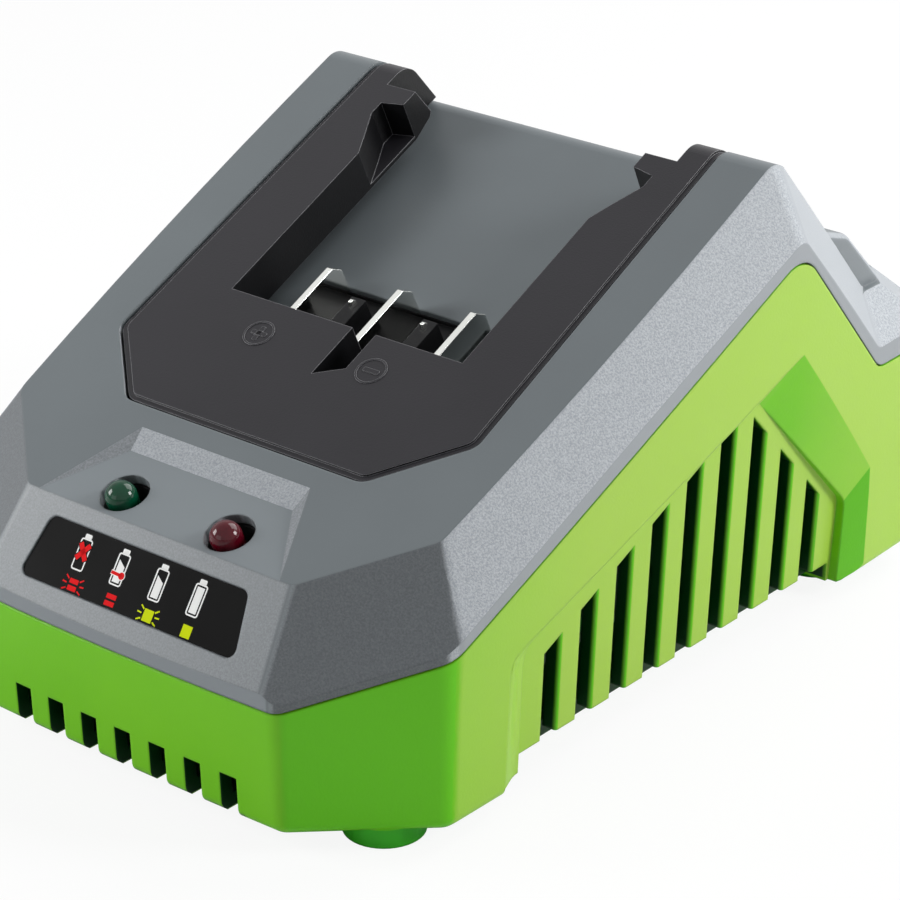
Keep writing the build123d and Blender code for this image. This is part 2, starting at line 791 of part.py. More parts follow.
def label_face(grow=0.0):
    points = (
        (-LABEL_HALF_TOP, LABEL_TOP),
        (LABEL_HALF_TOP, LABEL_TOP),
        (LABEL_HALF_LOW, LABEL_LOW),
        (-LABEL_HALF_LOW, LABEL_LOW),
    )
    face = make_face(Polyline(*points, close=True))
    face = fillet(face.vertices(), 1.4)
    return offset(face, grow) if grow else face


def status_label():
    """Thin printed label, set into the front panel."""
    return extrude(PANEL.offset(-LABEL_SINK) * label_face(), amount=LABEL_THICKNESS)


def cover_cavity():
    """Hollow of the cover, less the thick tray that carries the dock."""
    shell = DOCK_SOLID_X + WALL
    low = -CHANNEL_DEPTH - WALL
    tray = local_box(MAIN, -shell, shell, DOCK_SOLID_S - WALL, INSERT_END_S + 20, low, 20)
    plate = insert_slab(WALL, -PLATE - WALL, 20)
    return envelope(WALL) - tray - plate


def channel_cut():
    """Seat of the dock's frame and the deep channel between and under its rails."""
    clear = DOCK_SOLID_X + 0.1
    start = DOCK_SOLID_S - 0.1
    end = INSERT_END_S + 30
    cut = local_box(MAIN, -clear, clear, start, end, -RAIL_DEPTH, 20)
    cut += local_box(MAIN, -clear, clear, ARCH_S - 0.1, end, -CHANNEL_DEPTH, 20)
    cut += local_box(MAIN, -CHANNEL_HALF, CHANNEL_HALF, start, end, -CHANNEL_DEPTH, 20)
    return cut


def channel_tray():
    """Thick floor under the channel, hanging below the seam inside the tub."""
    shell = DOCK_SOLID_X + WALL
    low = -CHANNEL_DEPTH - WALL
    tray = local_box(MAIN, -shell, shell, DOCK_SOLID_S - WALL, INSERT_END_S, low, -CHANNEL_DEPTH)
    return tray & envelope(WALL / 2)


def block_seat():
    """Opening in the channel's floor, and the recess under it that takes the terminal block."""
    opening = local_box(
        MAIN, -BLOCK_HALF, BLOCK_HALF, DOCK_SOLID_S, OPENING_REAR_S, -CHANNEL_DEPTH - 4, -5
    )
    half = BLOCK_HALF + BLOCK_WALL + 0.1
    low = -CHANNEL_DEPTH - FLOOR_LIP
    return opening + local_box(
        MAIN, -half, half, BLOCK_FRONT_S, BLOCK_REAR_S + 0.1, low - 5, low
    )


def top_cover(form):
    """Upper housing: bevelled shell with the dock, lamp tray and label recess."""
    body = form - under_seam(SEAM_GAP / 2)
    body -= cover_cavity()
    body -= wall_prism(RIM - 0.05) & under_seam(TONGUE)
    body += channel_tray()
    body -= insert_slab(INSERT_GAP, -PLATE, 20)
    body -= channel_cut()
    end = MAIN.from_local_coords(Vector(0, CHANNEL_END_S, -CHANNEL_DEPTH))
    body = body.fillet(CHANNEL_ROUND, [edge_near(body, 0, end.Y, end.Z)])
    body -= block_seat()
    body -= notch_block(0.1)
    for x, s in insert_screw_places():
        body -= MAIN * post(x, s, -PLATE - WALL - 1, 0, BOSS_RADIUS + 0.1)
    body -= tray_cut()
    tray = tray_plane()
    for side in (1, -1):
        body -= tray * post(side * LAMP_X, 0, -10, 10, WELL_RADIUS)
    body -= extrude(PANEL.offset(-LABEL_SINK) * label_face(0.1), amount=5)
    body += cover_posts()
    for x, y in foot_places():
        body -= post(x, y, 10.0, 30.0, SCREW_RADIUS - 0.3)
    floor = -CHANNEL_DEPTH - WALL
    for x, s in block_ear_places():
        body -= MAIN * post(x, s, floor - 4, floor, 0.9)
    for side in (1, -1):
        body -= tray * post(side * TRAY_POST_X, 0, LAMP_SEAT - 1, -3.0, 0.8)
    return body


def cover_posts():
    """Screw pillars and bosses on the inside of the cover."""
    posts = Part()
    for x, y in foot_places():
        posts += post(x, y, 20.0, 90.0, PILLAR_RADIUS)
    for side in (1, -1):
        posts += tray_plane() * post(side * TRAY_POST_X, 0, LAMP_SEAT, 1, 2.3)
    posts = posts & envelope(WALL / 2)
    floor = -CHANNEL_DEPTH - WALL
    for x, s in block_ear_places():
        posts += MAIN * post(x, s, floor - EAR_DROP, floor + 0.5, EAR_HALF - 0.2)
    return posts


def blade(index):
    """Upright contact blade with a chamfered rear corner."""
    x = index * BLADE_PITCH
    low = BLOCK_BOTTOM - 3.0
    points = (
        (BLADE_FRONT_S, BLADE_TOP),
        (BLADE_REAR_S - BLADE_CHAMFER, BLADE_TOP),
        (BLADE_REAR_S, BLADE_TOP - BLADE_CHAMFER),
        (BLADE_REAR_S, BLOCK_TOP - 2),
        (BLADE_REAR_S - 8, BLOCK_TOP - 2),
        (BLADE_REAR_S - 8, low),
        (BLADE_FRONT_S + 4, low),
        (BLADE_FRONT_S + 4, BLOCK_TOP - 2),
        (BLADE_FRONT_S, BLOCK_TOP - 2),
    )
    return upright(points, x, BLADE_THICKNESS)


def upright(points, x, thickness):
    """Plate standing on the main slope, its outline given as (s, d)."""
    face = make_face(Polyline(*points, close=True))
    side = Plane(origin=MAIN.origin, x_dir=MAIN.y_dir, z_dir=(1, 0, 0))
    return extrude(side.offset(x - thickness / 2) * face, amount=thickness)


def signal_contact(side):
    """Thin spring contact that shows only its tip above its holder."""
    low = BLOCK_BOTTOM - 2
    points = (
        (SIGNAL_S - 0.7, low),
        (SIGNAL_S - 0.7, SIGNAL_TOP - 0.9),
        (SIGNAL_S - 0.2, SIGNAL_TOP),
        (SIGNAL_S + 0.3, SIGNAL_TOP),
        (SIGNAL_S + 0.7, SIGNAL_TOP - 0.5),
        (SIGNAL_S + 0.7, low),
    )
    return upright(points, side * BLADE_PITCH / 2, SIGNAL_THICKNESS)


def block_ear_places():
    return [(s * EAR_X, EAR_S) for s in (1, -1)]


def terminal_block():
    """Insulator that holds the blades, hung under the dock floor by two ears."""
    floor = -CHANNEL_DEPTH - WALL
    top = -CHANNEL_DEPTH - FLOOR_LIP
    half = BLOCK_HALF + BLOCK_WALL
    body = local_box(MAIN, -half, half, BLOCK_FRONT_S + 0.1, BLOCK_REAR_S, BLOCK_BOTTOM, top)
    body -= local_box(
        MAIN, -BLOCK_HALF, BLOCK_HALF, DOCK_SOLID_S + 0.2, OPENING_REAR_S - 0.2, BLOCK_TOP, 0
    )
    for side in (1, -1):
        x = side * BLADE_PITCH / 2
        low, high = x - HOLDER_HALF, x + HOLDER_HALF
        body += local_box(MAIN, low, high, HOLDER_FRONT_S, HOLDER_REAR_S, BLOCK_TOP, HOLDER_TOP)
        body -= signal_contact(side)
    for x, s in block_ear_places():
        side = 1 if x > 0 else -1
        low, high = sorted((side * BLOCK_HALF, x + side * EAR_HALF))
        seat = floor - EAR_DROP
        body += local_box(
            MAIN, low, high, s - EAR_HALF, s + EAR_HALF, seat - EAR_THICKNESS, seat
        )
        body -= MAIN * post(x, s, seat - EAR_THICKNESS - 1, floor, 1.2)
    for index in (-1, 0, 1):
        body -= blade(index)
    return body


def screw(head_radius, head_height, shank_radius, length):
    """Pan-head screw standing on its head, tip up, with a cross recess in the head."""
    head = Cylinder(head_radius, head_height, align=(Align.CENTER, Align.CENTER, Align.MIN))
    rim = head.edges().sort_by(Axis.Z)[0]
    head = fillet(rim, head_height * 0.45)
    shank = post(0, 0, head_height, head_height + length, shank_radius)
    width, depth = head_radius * 0.3, head_height * 0.55
    cross = Box(head_radius * 1.2, width, 2 * depth) + Box(width, head_radius * 1.2, 2 * depth)
    return head + shank - cross


def housing_screws():
    return [Pos(x, y, 11.6) * screw(SCREW_HEAD_RADIUS, 2.4, 1.2, 14.0) for x, y in foot_places()]


def board_screws():
    head = 1.4
    top = BOARD_Z + BOARD_THICKNESS + head
    turned = Rot(180, 0, 0) * screw(2.0, head, 0.95, 6.0)
    return [Pos(x, y, top) * turned for x, y in board_places()]


def insert_screws():
    head = 1.2
    base = -PLATE - WALL - head
    return [MAIN * Pos(x, s, base) * screw(2.2, head, 0.85, 3.6) for x, s in insert_screw_places()]


def terminal_screws():
    head = 1.4
    base = -CHANNEL_DEPTH - WALL - EAR_DROP - EAR_THICKNESS - head
    return [MAIN * Pos(x, s, base) * screw(2.2, head, 0.9, 4.6) for x, s in block_ear_places()]


def lamp(side):
    """5 mm lamp: flanged body with a domed end and two legs."""
    tray = tray_plane()
    x, y = side * LAMP_X, LAMP_S - WELL_S
    body = post(x, y, LAMP_SEAT, 0, LAMP_RADIUS)
    body += Pos(x, y, 0) * Sphere(LAMP_RADIUS)
    body += post(x, y, LAMP_SEAT, LAMP_SEAT + 1.0, LAMP_RADIUS + 0.4)
    for leg in (LEG_PITCH / 2, -LEG_PITCH / 2):
        body += Pos(x + leg, y, LAMP_SEAT - 1.2) * Box(LEG_WIDTH, LEG_WIDTH, 2.6)
    return tray * body


def indicator_board():
    """Small board under the lamps, hung from two posts of the cover."""
    tray = tray_plane()
    top = LAMP_SEAT
    board = Box(*INDICATOR_BOARD, align=(Align.CENTER, Align.CENTER, Align.MAX))
    board = Pos(0, 0, top) * fillet(board.edges().filter_by(Axis.Z), 1.0)
    for side in (1, -1):
        board -= post(side * TRAY_POST_X, 0, top - 3, top + 1, 1.1)
        for leg in (LEG_PITCH / 2, -LEG_PITCH / 2):
            x = side * LAMP_X + leg
            board -= Pos(x, LAMP_S - WELL_S, top) * Box(LEG_WIDTH, LEG_WIDTH, 6)
    return tray * board


def indicator_screws():
    tray = tray_plane()
    head = 1.2
    base = LAMP_SEAT - INDICATOR_BOARD[2] - head
    return [tray * Pos(s * TRAY_POST_X, 0, base) * screw(1.9, head, 0.8, 4.5) for s in (1, -1)]


def main_board():
    board = Box(
        2 * BOARD_HALF,
        BOARD_REAR - BOARD_FRONT,
        BOARD_THICKNESS,
        align=(Align.CENTER, Align.CENTER, Align.MIN),
    )
    board = fillet(board.edges().filter_by(Axis.Z), 2.0)
    board = Pos(0, (BOARD_FRONT + BOARD_REAR) / 2, BOARD_Z) * board
    for x, y in board_places():
        board -= post(x, y, BOARD_Z - 1, BOARD_Z + 5, 1.2)
    return board


TOP = BOARD_Z + BOARD_THICKNESS


def on_board(x, y, width, depth, height, lift=0.0):
    return Pos(x, y, TOP + lift) * Box(
        width, depth, height, align=(Align.CENTER, Align.CENTER, Align.MIN)
    )


def transformer_parts():
    """E-core transformer lying on the board: core, bobbin and winding."""
    x, y = TRANSFORMER
    core = on_board(x, y, 30, 9, 26)
    core -= on_board(x, y, 21, 10, 17, 4.5)
    core += on_board(x, y, 9, 9, 26)
    tube = on_board(x, y, 11, 11, 16.6, 4.7) - on_board(x, y, 9, 9, 20, 4.0)
    ends = on_board(x, y, 20.6, 21, 1.4, 4.7) + on_board(x, y, 20.6, 21, 1.4, 19.9)
    ends -= on_board(x, y, 9, 9, 20, 4.0)
    foot = on_board(x, y + 8.5, 20.6, 4, 4.7) + on_board(x, y - 8.5, 20.6, 4, 4.7)
    bobbin = tube + ends + foot
    winding = on_board(x, y, 18.4, 19, 13.8, 6.1)
    winding = fillet(winding.edges().filter_by(Axis.Z), 3.5)
    winding -= on_board(x, y, 11, 11, 20, 5.0)
    return core, bobbin, winding


def can(x, y, radius, height):
    """Electrolytic capacitor: sleeved can with a crimp groove and a scored top."""
    body = post(x, y, TOP, TOP + height, radius)
    body = fillet(body.edges().sort_by(Axis.Z)[-1], 0.8)
    groove = post(x, y, TOP + 2.0, TOP + 2.8, radius + 1) - post(
        x, y, TOP + 1.0, TOP + 4.0, radius - 0.5
    )
    return body - groove


def heatsink(x, y, length, height):
    """Upright extruded plate with short fins on its inward side."""
    inward = 1 if x < 0 else -1
    plate = on_board(x, y, HEATSINK_PLATE, length, height)
    for index in range(FINS):
        step = (index - (FINS - 1) / 2) * length / FINS
        plate += on_board(x + inward * FIN_OFFSET, y + step, FIN_LENGTH, FIN_THICKNESS, height)
    return plate


def power_package(x, y):
    """Flat three-leg power package against its heatsink."""
    body = on_board(x, y, 4.4, 10.0, 9.0, 6.0)
    tab = on_board(x, y, 1.3, 10.0, 15.5, 6.0)
    legs = Part()
    for step in (-2.54, 0, 2.54):
        legs += on_board(x, y + step, 0.6, 0.8, 6.0)
    return body + tab + legs


def fuse():
    """Glass cartridge fuse in two clips, across the board."""
    x, y = FUSE
    z = TOP + 4.4
    axis = Plane(origin=(x, y, z), x_dir=(0, 1, 0), z_dir=(1, 0, 0))
    body = axis * Cylinder(2.3, 20)
    for side in (1, -1):
        body += axis * Pos(0, 0, side * 8.0) * Cylinder(2.7, 5)
        body += on_board(x + side * 8.0, y, 3.4, 2.0, 4.0)
    return body


def choke_parts():
    """Toroidal choke standing on the board: ring core and two windings."""
    x, y = CHOKE
    z = TOP + 10.5
    plane = Plane(origin=(x, y, z), x_dir=(1, 0, 0), z_dir=(0, 1, 0))
    ring = plane * (Cylinder(7.5, 6) - Cylinder(4.0, 7))
    sleeve = plane * (Cylinder(9.2, 8.4) - Cylinder(2.6, 9)) - ring
    gap = Pos(x, y, z) * Box(3.5, 12, 30)
    sides = (sleeve - gap).solids()
    base = on_board(x, y, 16, 10, 2.0) - plane * Cylinder(9.2, 20)
    return ring, sides, base


def cord_clamp():
    """Bar that holds the cord down on its saddle, just inside the inlet."""
    bar = Pos(0, CLAMP_Y, CLAMP_Z) * Box(
        *CLAMP_SIZE, align=(Align.CENTER, Align.CENTER, Align.MIN)
    )
    bar = fillet(bar.edges().filter_by(Axis.Z), 2.0)
    bar -= along_cord(CLAMP_Y) * Cylinder(CORD_GROOVE, 20)
    for side in (1, -1):
        bar -= post(side * CLAMP_SCREW_X, CLAMP_Y, CLAMP_Z - 1, CLAMP_Z + 5, 1.4)
    return bar


def clamp_screws():
    head = 1.6
    top = CLAMP_Z + CLAMP_SIZE[2] + head
    turned = Rot(180, 0, 0) * screw(2.4, head, 1.1, 9.0)
    return [Pos(s * CLAMP_SCREW_X, CLAMP_Y, top) * turned for s in (1, -1)]


def write(name, shape):
    """Write one named piece, or a group of like pieces, as its own STEP file."""
    solids = []
    for item in shape if isinstance(shape, (list, tuple, ShapeList)) else [shape]:
        solids += item.solids()
    piece = solids[0] if len(solids) == 1 else Compound(solids)
    piece.label = name
    export_step(piece, f"parts/{name}.step")


def main():
    os.makedirs("parts", exist_ok=True)
    form = outer_form()
    write("base_housing", base_housing())
    write("top_cover", top_cover(form))
    write("dock_insert", dock_insert(form))
    write("status_label", status_label())
    write("terminal_block", terminal_block())
    for index, name in ((-1, "blade_positive"), (0, "blade_sense"), (1, "blade_negative")):
        write(name, blade(index))
    write("signal_contacts", [signal_contact(s) for s in (1, -1)])
    write("lamp_green", lamp(-1))
    write("lamp_red", lamp(1))
    write("indicator_board", indicator_board())
    write("main_board", main_board())
    core, bobbin, winding = transformer_parts()
    write("transformer_core", core)
    write("transformer_bobbin", bobbin)
    write("transformer_winding", winding)
    ring, coils, base = choke_parts()
    write("choke_core", ring)
    write("choke_windings", coils)
    write("choke_base", base)
    write("bulk_capacitor", can(22.0, 12.0, 9.0, 30.0))
    write("output_capacitors", [can(x, -36.0, 5.0, 20.0) for x in (-6.0, 6.0)])
    write("primary_heatsink", heatsink(-33.0, 8.0, 24.0, 22.0))
    write("switching_transistor", power_package(-36.2, 8.0))
    write("output_heatsink", heatsink(33.0, -18.0, 24.0, 20.0))
    write("output_rectifier", power_package(36.2, -18.0))
    write("filter_capacitor", fillet(on_board(-22, 30, 18, 8.5, 14).edges(), 0.8))
    write("mains_fuse", fuse())
    write("bridge_rectifier", fillet(on_board(25, 36, 15, 4, 11, 3).edges(), 0.5))
    write("optocoupler", on_board(-20, -16, 6.5, 4.6, 3.5))
    write("control_chip", on_board(-24, -32, 10, 4, 1.8))
    write("mains_header", on_board(0, 45.5, 12, 6, 8) - on_board(0, 46.5, 10, 5, 8, 2))
    write("cord_clamp", cord_clamp())
    write("clamp_screws", clamp_screws())
    write("housing_screws", housing_screws())
    write("board_screws", board_screws())
    write("insert_screws", insert_screws())
    write("terminal_screws", terminal_screws())
    write("indicator_screws", indicator_screws())


main()
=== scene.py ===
"""A power tool battery charger: studio, camera, finishes, signs and small forms round the CAD frame."""
import json
import math

import bmesh
import bpy
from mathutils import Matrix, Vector


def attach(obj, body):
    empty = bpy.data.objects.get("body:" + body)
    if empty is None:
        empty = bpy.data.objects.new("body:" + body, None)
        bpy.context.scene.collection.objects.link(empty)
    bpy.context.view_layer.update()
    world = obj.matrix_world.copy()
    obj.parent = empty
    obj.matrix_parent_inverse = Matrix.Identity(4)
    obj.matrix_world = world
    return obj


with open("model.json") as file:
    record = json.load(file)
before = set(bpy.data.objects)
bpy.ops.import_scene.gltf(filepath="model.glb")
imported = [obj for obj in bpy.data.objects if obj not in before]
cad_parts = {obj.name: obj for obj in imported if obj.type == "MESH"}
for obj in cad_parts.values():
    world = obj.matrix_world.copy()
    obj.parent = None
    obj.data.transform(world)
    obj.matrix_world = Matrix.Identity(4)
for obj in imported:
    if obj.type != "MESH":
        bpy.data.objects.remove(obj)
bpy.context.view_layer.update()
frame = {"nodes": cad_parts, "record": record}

MM = 0.001

# ---- Camera: its place in metres, and the direction it looks from, in degrees ----
CAMERA_AT = Vector((0.31281, -0.37596, 0.25428))
CAMERA_AZIMUTH = 39.52
CAMERA_ELEVATION = 24.65
LENS = 132.9
SENSOR_WIDTH = 36
CLIP_START = 0.01

# ---- Studio ----
# Each softbox: name, azimuth and elevation in degrees, distance and size in metres, power in watts.
SOFTBOXES = (
    ("key_right", 118, 28, 0.6, 0.2, 2.6),
    ("rear_top", 170, 42, 0.9, 0.7, 6.8),
    ("front_left", -50, 20, 0.45, 0.18, 1.3),
    ("front_low", -10, 6, 1.0, 0.6, 1.2),
)
SOFTBOX_AIM = Vector((0, 0, 40 * MM))
FILL = (0.95, 0.97, 1.0, 1)
FILL_STRENGTH = 0.2
WHITE = (1, 1, 1, 1)
PAPER = (0.85, 0.85, 0.85, 1)
FLOOR_RADIUS = 4.0
FLOOR_SIDES = 96
# Share of plain white in what the camera sees of the floor.
FLOOR_GLOW = 0.9

# ---- The cover's planes, as the CAD has them: a point on each, its way up and its way out ----
MAIN_ORIGIN = Vector((0, -50.75 * MM, 45.8 * MM))
MAIN_UP = Vector((0, 0.9077, 0.4196))
MAIN_OUT = Vector((0, -0.4196, 0.9077))
PANEL_ORIGIN = Vector((0, -64.75 * MM, 39.3 * MM))
PANEL_UP = Vector((0, 0.5707, 0.8211))
PANEL_OUT = Vector((0, -0.8211, 0.5707))
TRAY_DOWN = 10.7 * MM
TRAY_SUNK = 0.386 * MM
TRAY_ORIGIN = MAIN_ORIGIN - MAIN_UP * TRAY_DOWN - MAIN_OUT * TRAY_SUNK
TRAY_UP = Vector((0, 0.9379, 0.3469))
TRAY_OUT = Vector((0, -0.3469, 0.9379))

# ---- The housing's slotted panels, as the CAD has them, and the zones of its openings ----
# A slotted panel's face is at GRILLE_X where the height is zero, and leans out by the draft. The
# zones are boxes round all the side slots and all the front vents.
DRAFT = math.radians(2.5)
GRILLE_X = 45.87 * MM
SLOTS_Y = (-44 * MM, 48 * MM)
SLOTS_Z = (3.5 * MM, 60 * MM)
VENTS_X = 24 * MM
VENTS_Y = (-72.5 * MM, -60 * MM)
VENTS_Z = (3.2 * MM, 10.7 * MM)

# ---- Forms added to the side recesses ----
# The rounded border at a recess's front and top: edge on the wall, then foot on the slotted panel,
# as (y, z) in millimetres.
BORDER = (
    ((-43.6, 3.1), (-36.6, 3.1)),
    ((-43.6, 24.2), (-36.6, 21.8)),
    ((-43.05, 25.9), (-35.9, 23.9)),
    ((-41.6, 27.05), (-34.3, 25.3)),
    ((-38.0, 28.5), (-32.0, 26.5)),
    ((17.6, 48.0), (18.9, 44.3)),
    ((21.0, 49.2), (22.0, 46.4)),
    ((24.3, 50.35), (25.0, 48.9)),
    ((27.6, 51.5), (27.8, 51.2)),
)
BORDER_STEPS = 10
BORDER_SUNK = 0.3 * MM
# The wall is measured past the border's edge, by this share of the border's width.
BORDER_OVERRUN = 0.06
# The sill behind the slots' feet: its section as (x, z), and its ends along y, in millimetres.
SILL = ((40.65, 3.4), (42.0, 3.4), (42.4, 3.7), (42.5, 6.6), (40.65, 6.6))
SILL_Y = (-43.2, 45.7)
# Outside the housing, where the lines that measure its face start.
OUTSIDE_X = 80 * MM

# ---- Lamp wells, in millimetres on the tray's plane ----
WELL_X = 10.7
WELL_RADIUS = 3.95
WELL_WALL = 0.7
WELL_FOOT = -6.35
WELL_TOP = -2.3

# ---- Where the housing's green changes, with painted light and shade ----
# SIDEWAYS, REARWARD and UPWARD are ranges of the part of a face's direction that points that way,
# ALONG and HEIGHT are ranges of its place. Over each range a tint comes in or goes out.
SIDE_SIDEWAYS = (0.65, 0.9)
SIDE_REARWARD = (-0.24, -0.1)
SIDE_ALONG = (-70 * MM, -25 * MM)
# How much of the side's painted sheen its front end has: the sheen is painted weaker towards the front.
SIDE_SHEEN_FRONT_SHARE = 0.5
# Painted shading: the front corners' chamfers get their own green for how light falls on them.
CORNER_SIDEWAYS = (0.45, 0.6)
CORNER_REARWARD = (-0.34, -0.26)
# The flank is the slope at a side recess's rear end; it gets painted shade.
FLANK_SIDEWAYS = (0.8, 0.86)
FLANK_REARWARD = (-0.18, -0.13)
FLANK_UPWARD = (-0.15, -0.09)
FLANK_ALONG = (40 * MM, 41 * MM)
# Below this height the foot gets painted shade.
FOOT_HEIGHT = (3 * MM, 3.1 * MM)
# Painted shade: a slot gets dark over this depth behind the panel. A vent's reveals are its faces that
# turn away from the front.
BEHIND_GRILLE = (0.1 * MM, 0.8 * MM)
REVEAL_REARWARD = (-0.9, -0.7)
SOFT = 0.1 * MM
VENT_SOFT = 0.5 * MM

# ---- Where the cover's grey and the dock's black change, in the same terms ----
# Strip: upright over the seam. Wall: inside, as in the dock's channel. Facet: bevel at a front
# corner. Level: not tilted sideways. Ledge: slope behind the lamp tray. Panel: round the label.
# Front: upright under the panel. Back: bevels that turn to the rear.
STRIP_SIDEWAYS = (0.955, 0.985)
WALL_SIDEWAYS = (0.9, 0.95)
STRIP_ACROSS = (43 * MM, 44 * MM)
BEVEL_SIDEWAYS = (0.12, 0.35)
FACET_REARWARD = (-0.6, -0.45)
LEVEL_SIDEWAYS = (0.04, 0.1)
LEDGE_REARWARD, LEDGE_SOFT = (-0.7, -0.58), 0.05
PANEL_REARWARD, PANEL_SOFT = (-0.88, -0.78), 0.03
FRONT_REARWARD = (-0.99, -0.95)
TRAY_REARWARD, TRAY_SOFT = (-0.37, -0.32), 0.03
TRAY_ALONG = (-50 * MM, -49 * MM)
BACK_REARWARD = (0.05, 0.3)
# Cosines of the angle between a face of the dock and the main slope, from wall to flat: the upright
# walls get painted shade.
DOCK_LEVEL = (0.3, 0.9)
# Cosines of an edge's softened turn away from its face, where the painted edge highlight starts and
# where it is full.
EDGE_HIGHLIGHT_TURN = (0.985, 0.85)

# ---- Colours ----
GREEN_DARK, GREEN_LIGHT = "64B30A", "72BD14"
# Painted shading: the corner chamfers' green is matched to how they are lit.
# Painted sheen: the sides' green is paler and yellower, for the light they catch.
GREEN_SIDE_SHEEN, GREEN_CORNER_SHADING = "93B740", "60BE08"
# Painted shade: the flanks' green is darker.
# Painted shade: the foot's green is darker towards the bottom.
GREEN_FLANK_SHADE, GREEN_FOOT_SHADE = "55A80A", "38AB20"
# Painted shade inside the slots and vents.
GREEN_OPENING_SHADE = "00300C"
COVER_DARK, COVER_LIGHT = "62686B", "6C7376"
# Painted light: the lamp tray's grey is lighter than the slope around it, for the light it catches.
TRAY_LIT_DARK, TRAY_LIT_LIGHT = "73797D", "7D8487"
SPARK_DARK, SPARK_LIGHT = "90959A", "B2B6BA"
# Painted shade: the front corner facets' grey is darker, for facing away from the light.
FACET_SHADED_DARK, FACET_SHADED_LIGHT = "5A5E61", "6A6E71"
PANEL_DARK, PANEL_LIGHT = "676C70", "787E81"
FRONT_STRIP = "7C8186"
# Painted light and shade: the rear bevels get a flat grey matched to how they are lit.
REAR_BEVEL_SHADING = "969A9E"
# Painted light: the upright seam strip's grey is lighter, for the light it catches.
SEAM_STRIP_LIT = "888C90"
DOCK_DARK, DOCK_LIGHT = "222125", "29282C"
# Painted highlight: the dock's edges are paler.
# Painted shade: the dock's upright walls are darker.
DOCK_WALL_SHADE, DOCK_EDGE_HIGHLIGHT = "0B0B0D", "8C8C90"
CONTACT_DARK, CONTACT_LIGHT = "D5D7D2", "F4F5F2"
BOARD_PLAIN, BOARD_TRACK = "0E4A22", "186B33"
WIRE_DARK, WIRE_LIGHT = "7A3A18", "C87A3C"
GLASS_DARK, GLASS_LIGHT = "DDE6E8", "F2F6F7"

# ---- Grain ----
# Scales in features per metre, depths of relief, and the ranges of a noise that get the full contrast.
DRIFT = 45
COVER_DRIFT = 40
GRAIN = 2600
DOCK_GRAIN = 3200
SPARK_GRAIN = 3300
GRAIN_DEPTH = 0.02 * MM
SPARK_DEPTH = 0.035 * MM
DRIFT_SHARE = 0.65
SATIN_SHARE = 0.25
NOISE_RANGE = (0.3, 0.7)
SPECKLE_RANGE = (0.38, 0.66)
TRACK_RANGE = (0.49, 0.51)
WIRE_BANDS = 420
BEVEL_SAMPLES = 6

# ---- Printed signs, in millimetres on the cover's panel ----
# The label's face lies under the panel's plane. INK is the thickness of one layer of print.
LABEL_FACE = -0.2
INK = 0.02
BATTERY_X = (-11.9, -4.0, 3.9, 11.6)
BATTERY_TOP = -4.45
BATTERY_WIDTH = 2.4
BATTERY_HEIGHT = 5.0
BATTERY_WALL = 0.24
BATTERY_OUTER_CORNER = 0.45
BATTERY_INNER_CORNER = 0.22
CAP_RISE = 0.3
CAP_WIDTH, CAP_HEIGHT, CAP_CORNER = 1.35, 0.8, 0.2
# Charge levels: which battery, and the level's top at its left and at its right.
CHARGES = ((1, -5.5, -6.4), (2, -5.6, -6.5), (3, -4.95, -4.95))
CHARGE_INSET = 0.5
CHARGE_FOOT = 0.48
# The cross and the thermometer are red, on a wider shape in another colour. The numbers are the
# reach and width of the cross's arms, and the bulb's radius, the stem's far end and its width.
CROSS_AT = (BATTERY_X[0] + 0.03, -6.5)
CROSS_TURNS = (52, 128)
CROSS_RED = (1.55, 0.84)
CROSS_GAP = (1.68, 1.14)
THERMOMETER_AT = (BATTERY_X[1], -7.75)
THERMOMETER_RED = (0.56, -1.35, 0.5)
THERMOMETER_WHITE = (0.7, -1.4, 0.74)
BULB_SHIFT = 0.75
BULB_SIDES = 20
STEM_SHIFT = 0.7
STEM_RISE = 0.1
# Lamp signs: two bars for the red lamp, given by place and width, and one block for the green one.
LAMP_SIGN_Y = -11.7
LAMP_SIGN_CORNER = 0.08
RED_STEADY, RED_FLASHING = (-3.6, 1.95), (-11.4, 1.75)
RED_BARS_Y = (-11.1, -12.2)
RED_BAR_HEIGHT = 0.76
LIME_FLASHING, LIME_STEADY = 4.15, 11.9
LIME_WIDTH, LIME_HEIGHT = 1.85, 1.9
RAY_TURNS = (35, 5, -28, 145, 175, 208)
RAY_NEAR, RAY_FAR, RAY_WIDTH = 1.35, 2.2, 0.24

# ---- Polarity signs, in millimetres on the main slope's plane ----
RING_OUTER, RING_INNER, RING_RISE = 2.65, 2.3, 0.1
BAR_LONG, BAR_SHORT, BAR_CORNER = 3.1, 0.95, 0.3
BAR_RISE, BAR_BEVEL = 0.12, 0.06
LEVEL_BAR = (BAR_LONG, BAR_SHORT)
UPRIGHT_BAR = (BAR_SHORT, BAR_LONG)
# Each sign: name, middle and bars.
POLARITY_SIGNS = (
    ("sign_plus", -12.3, 24.7, (LEVEL_BAR, UPRIGHT_BAR)),
    ("sign_minus", 10.7, 24.6, (LEVEL_BAR,)),
)

CIRCLE_SIDES = 40
CORNER_STEPS = 4
TINY = 1e-6


def srgb(code):
    """A linear colour from a six-digit hex code."""
    values = [int(code[i:i + 2], 16) / 255 for i in (0, 2, 4)]
    linear = [v / 12.92 if v <= 0.04045 else ((v + 0.055) / 1.055) ** 2.4 for v in values]
    return (*linear, 1.0)


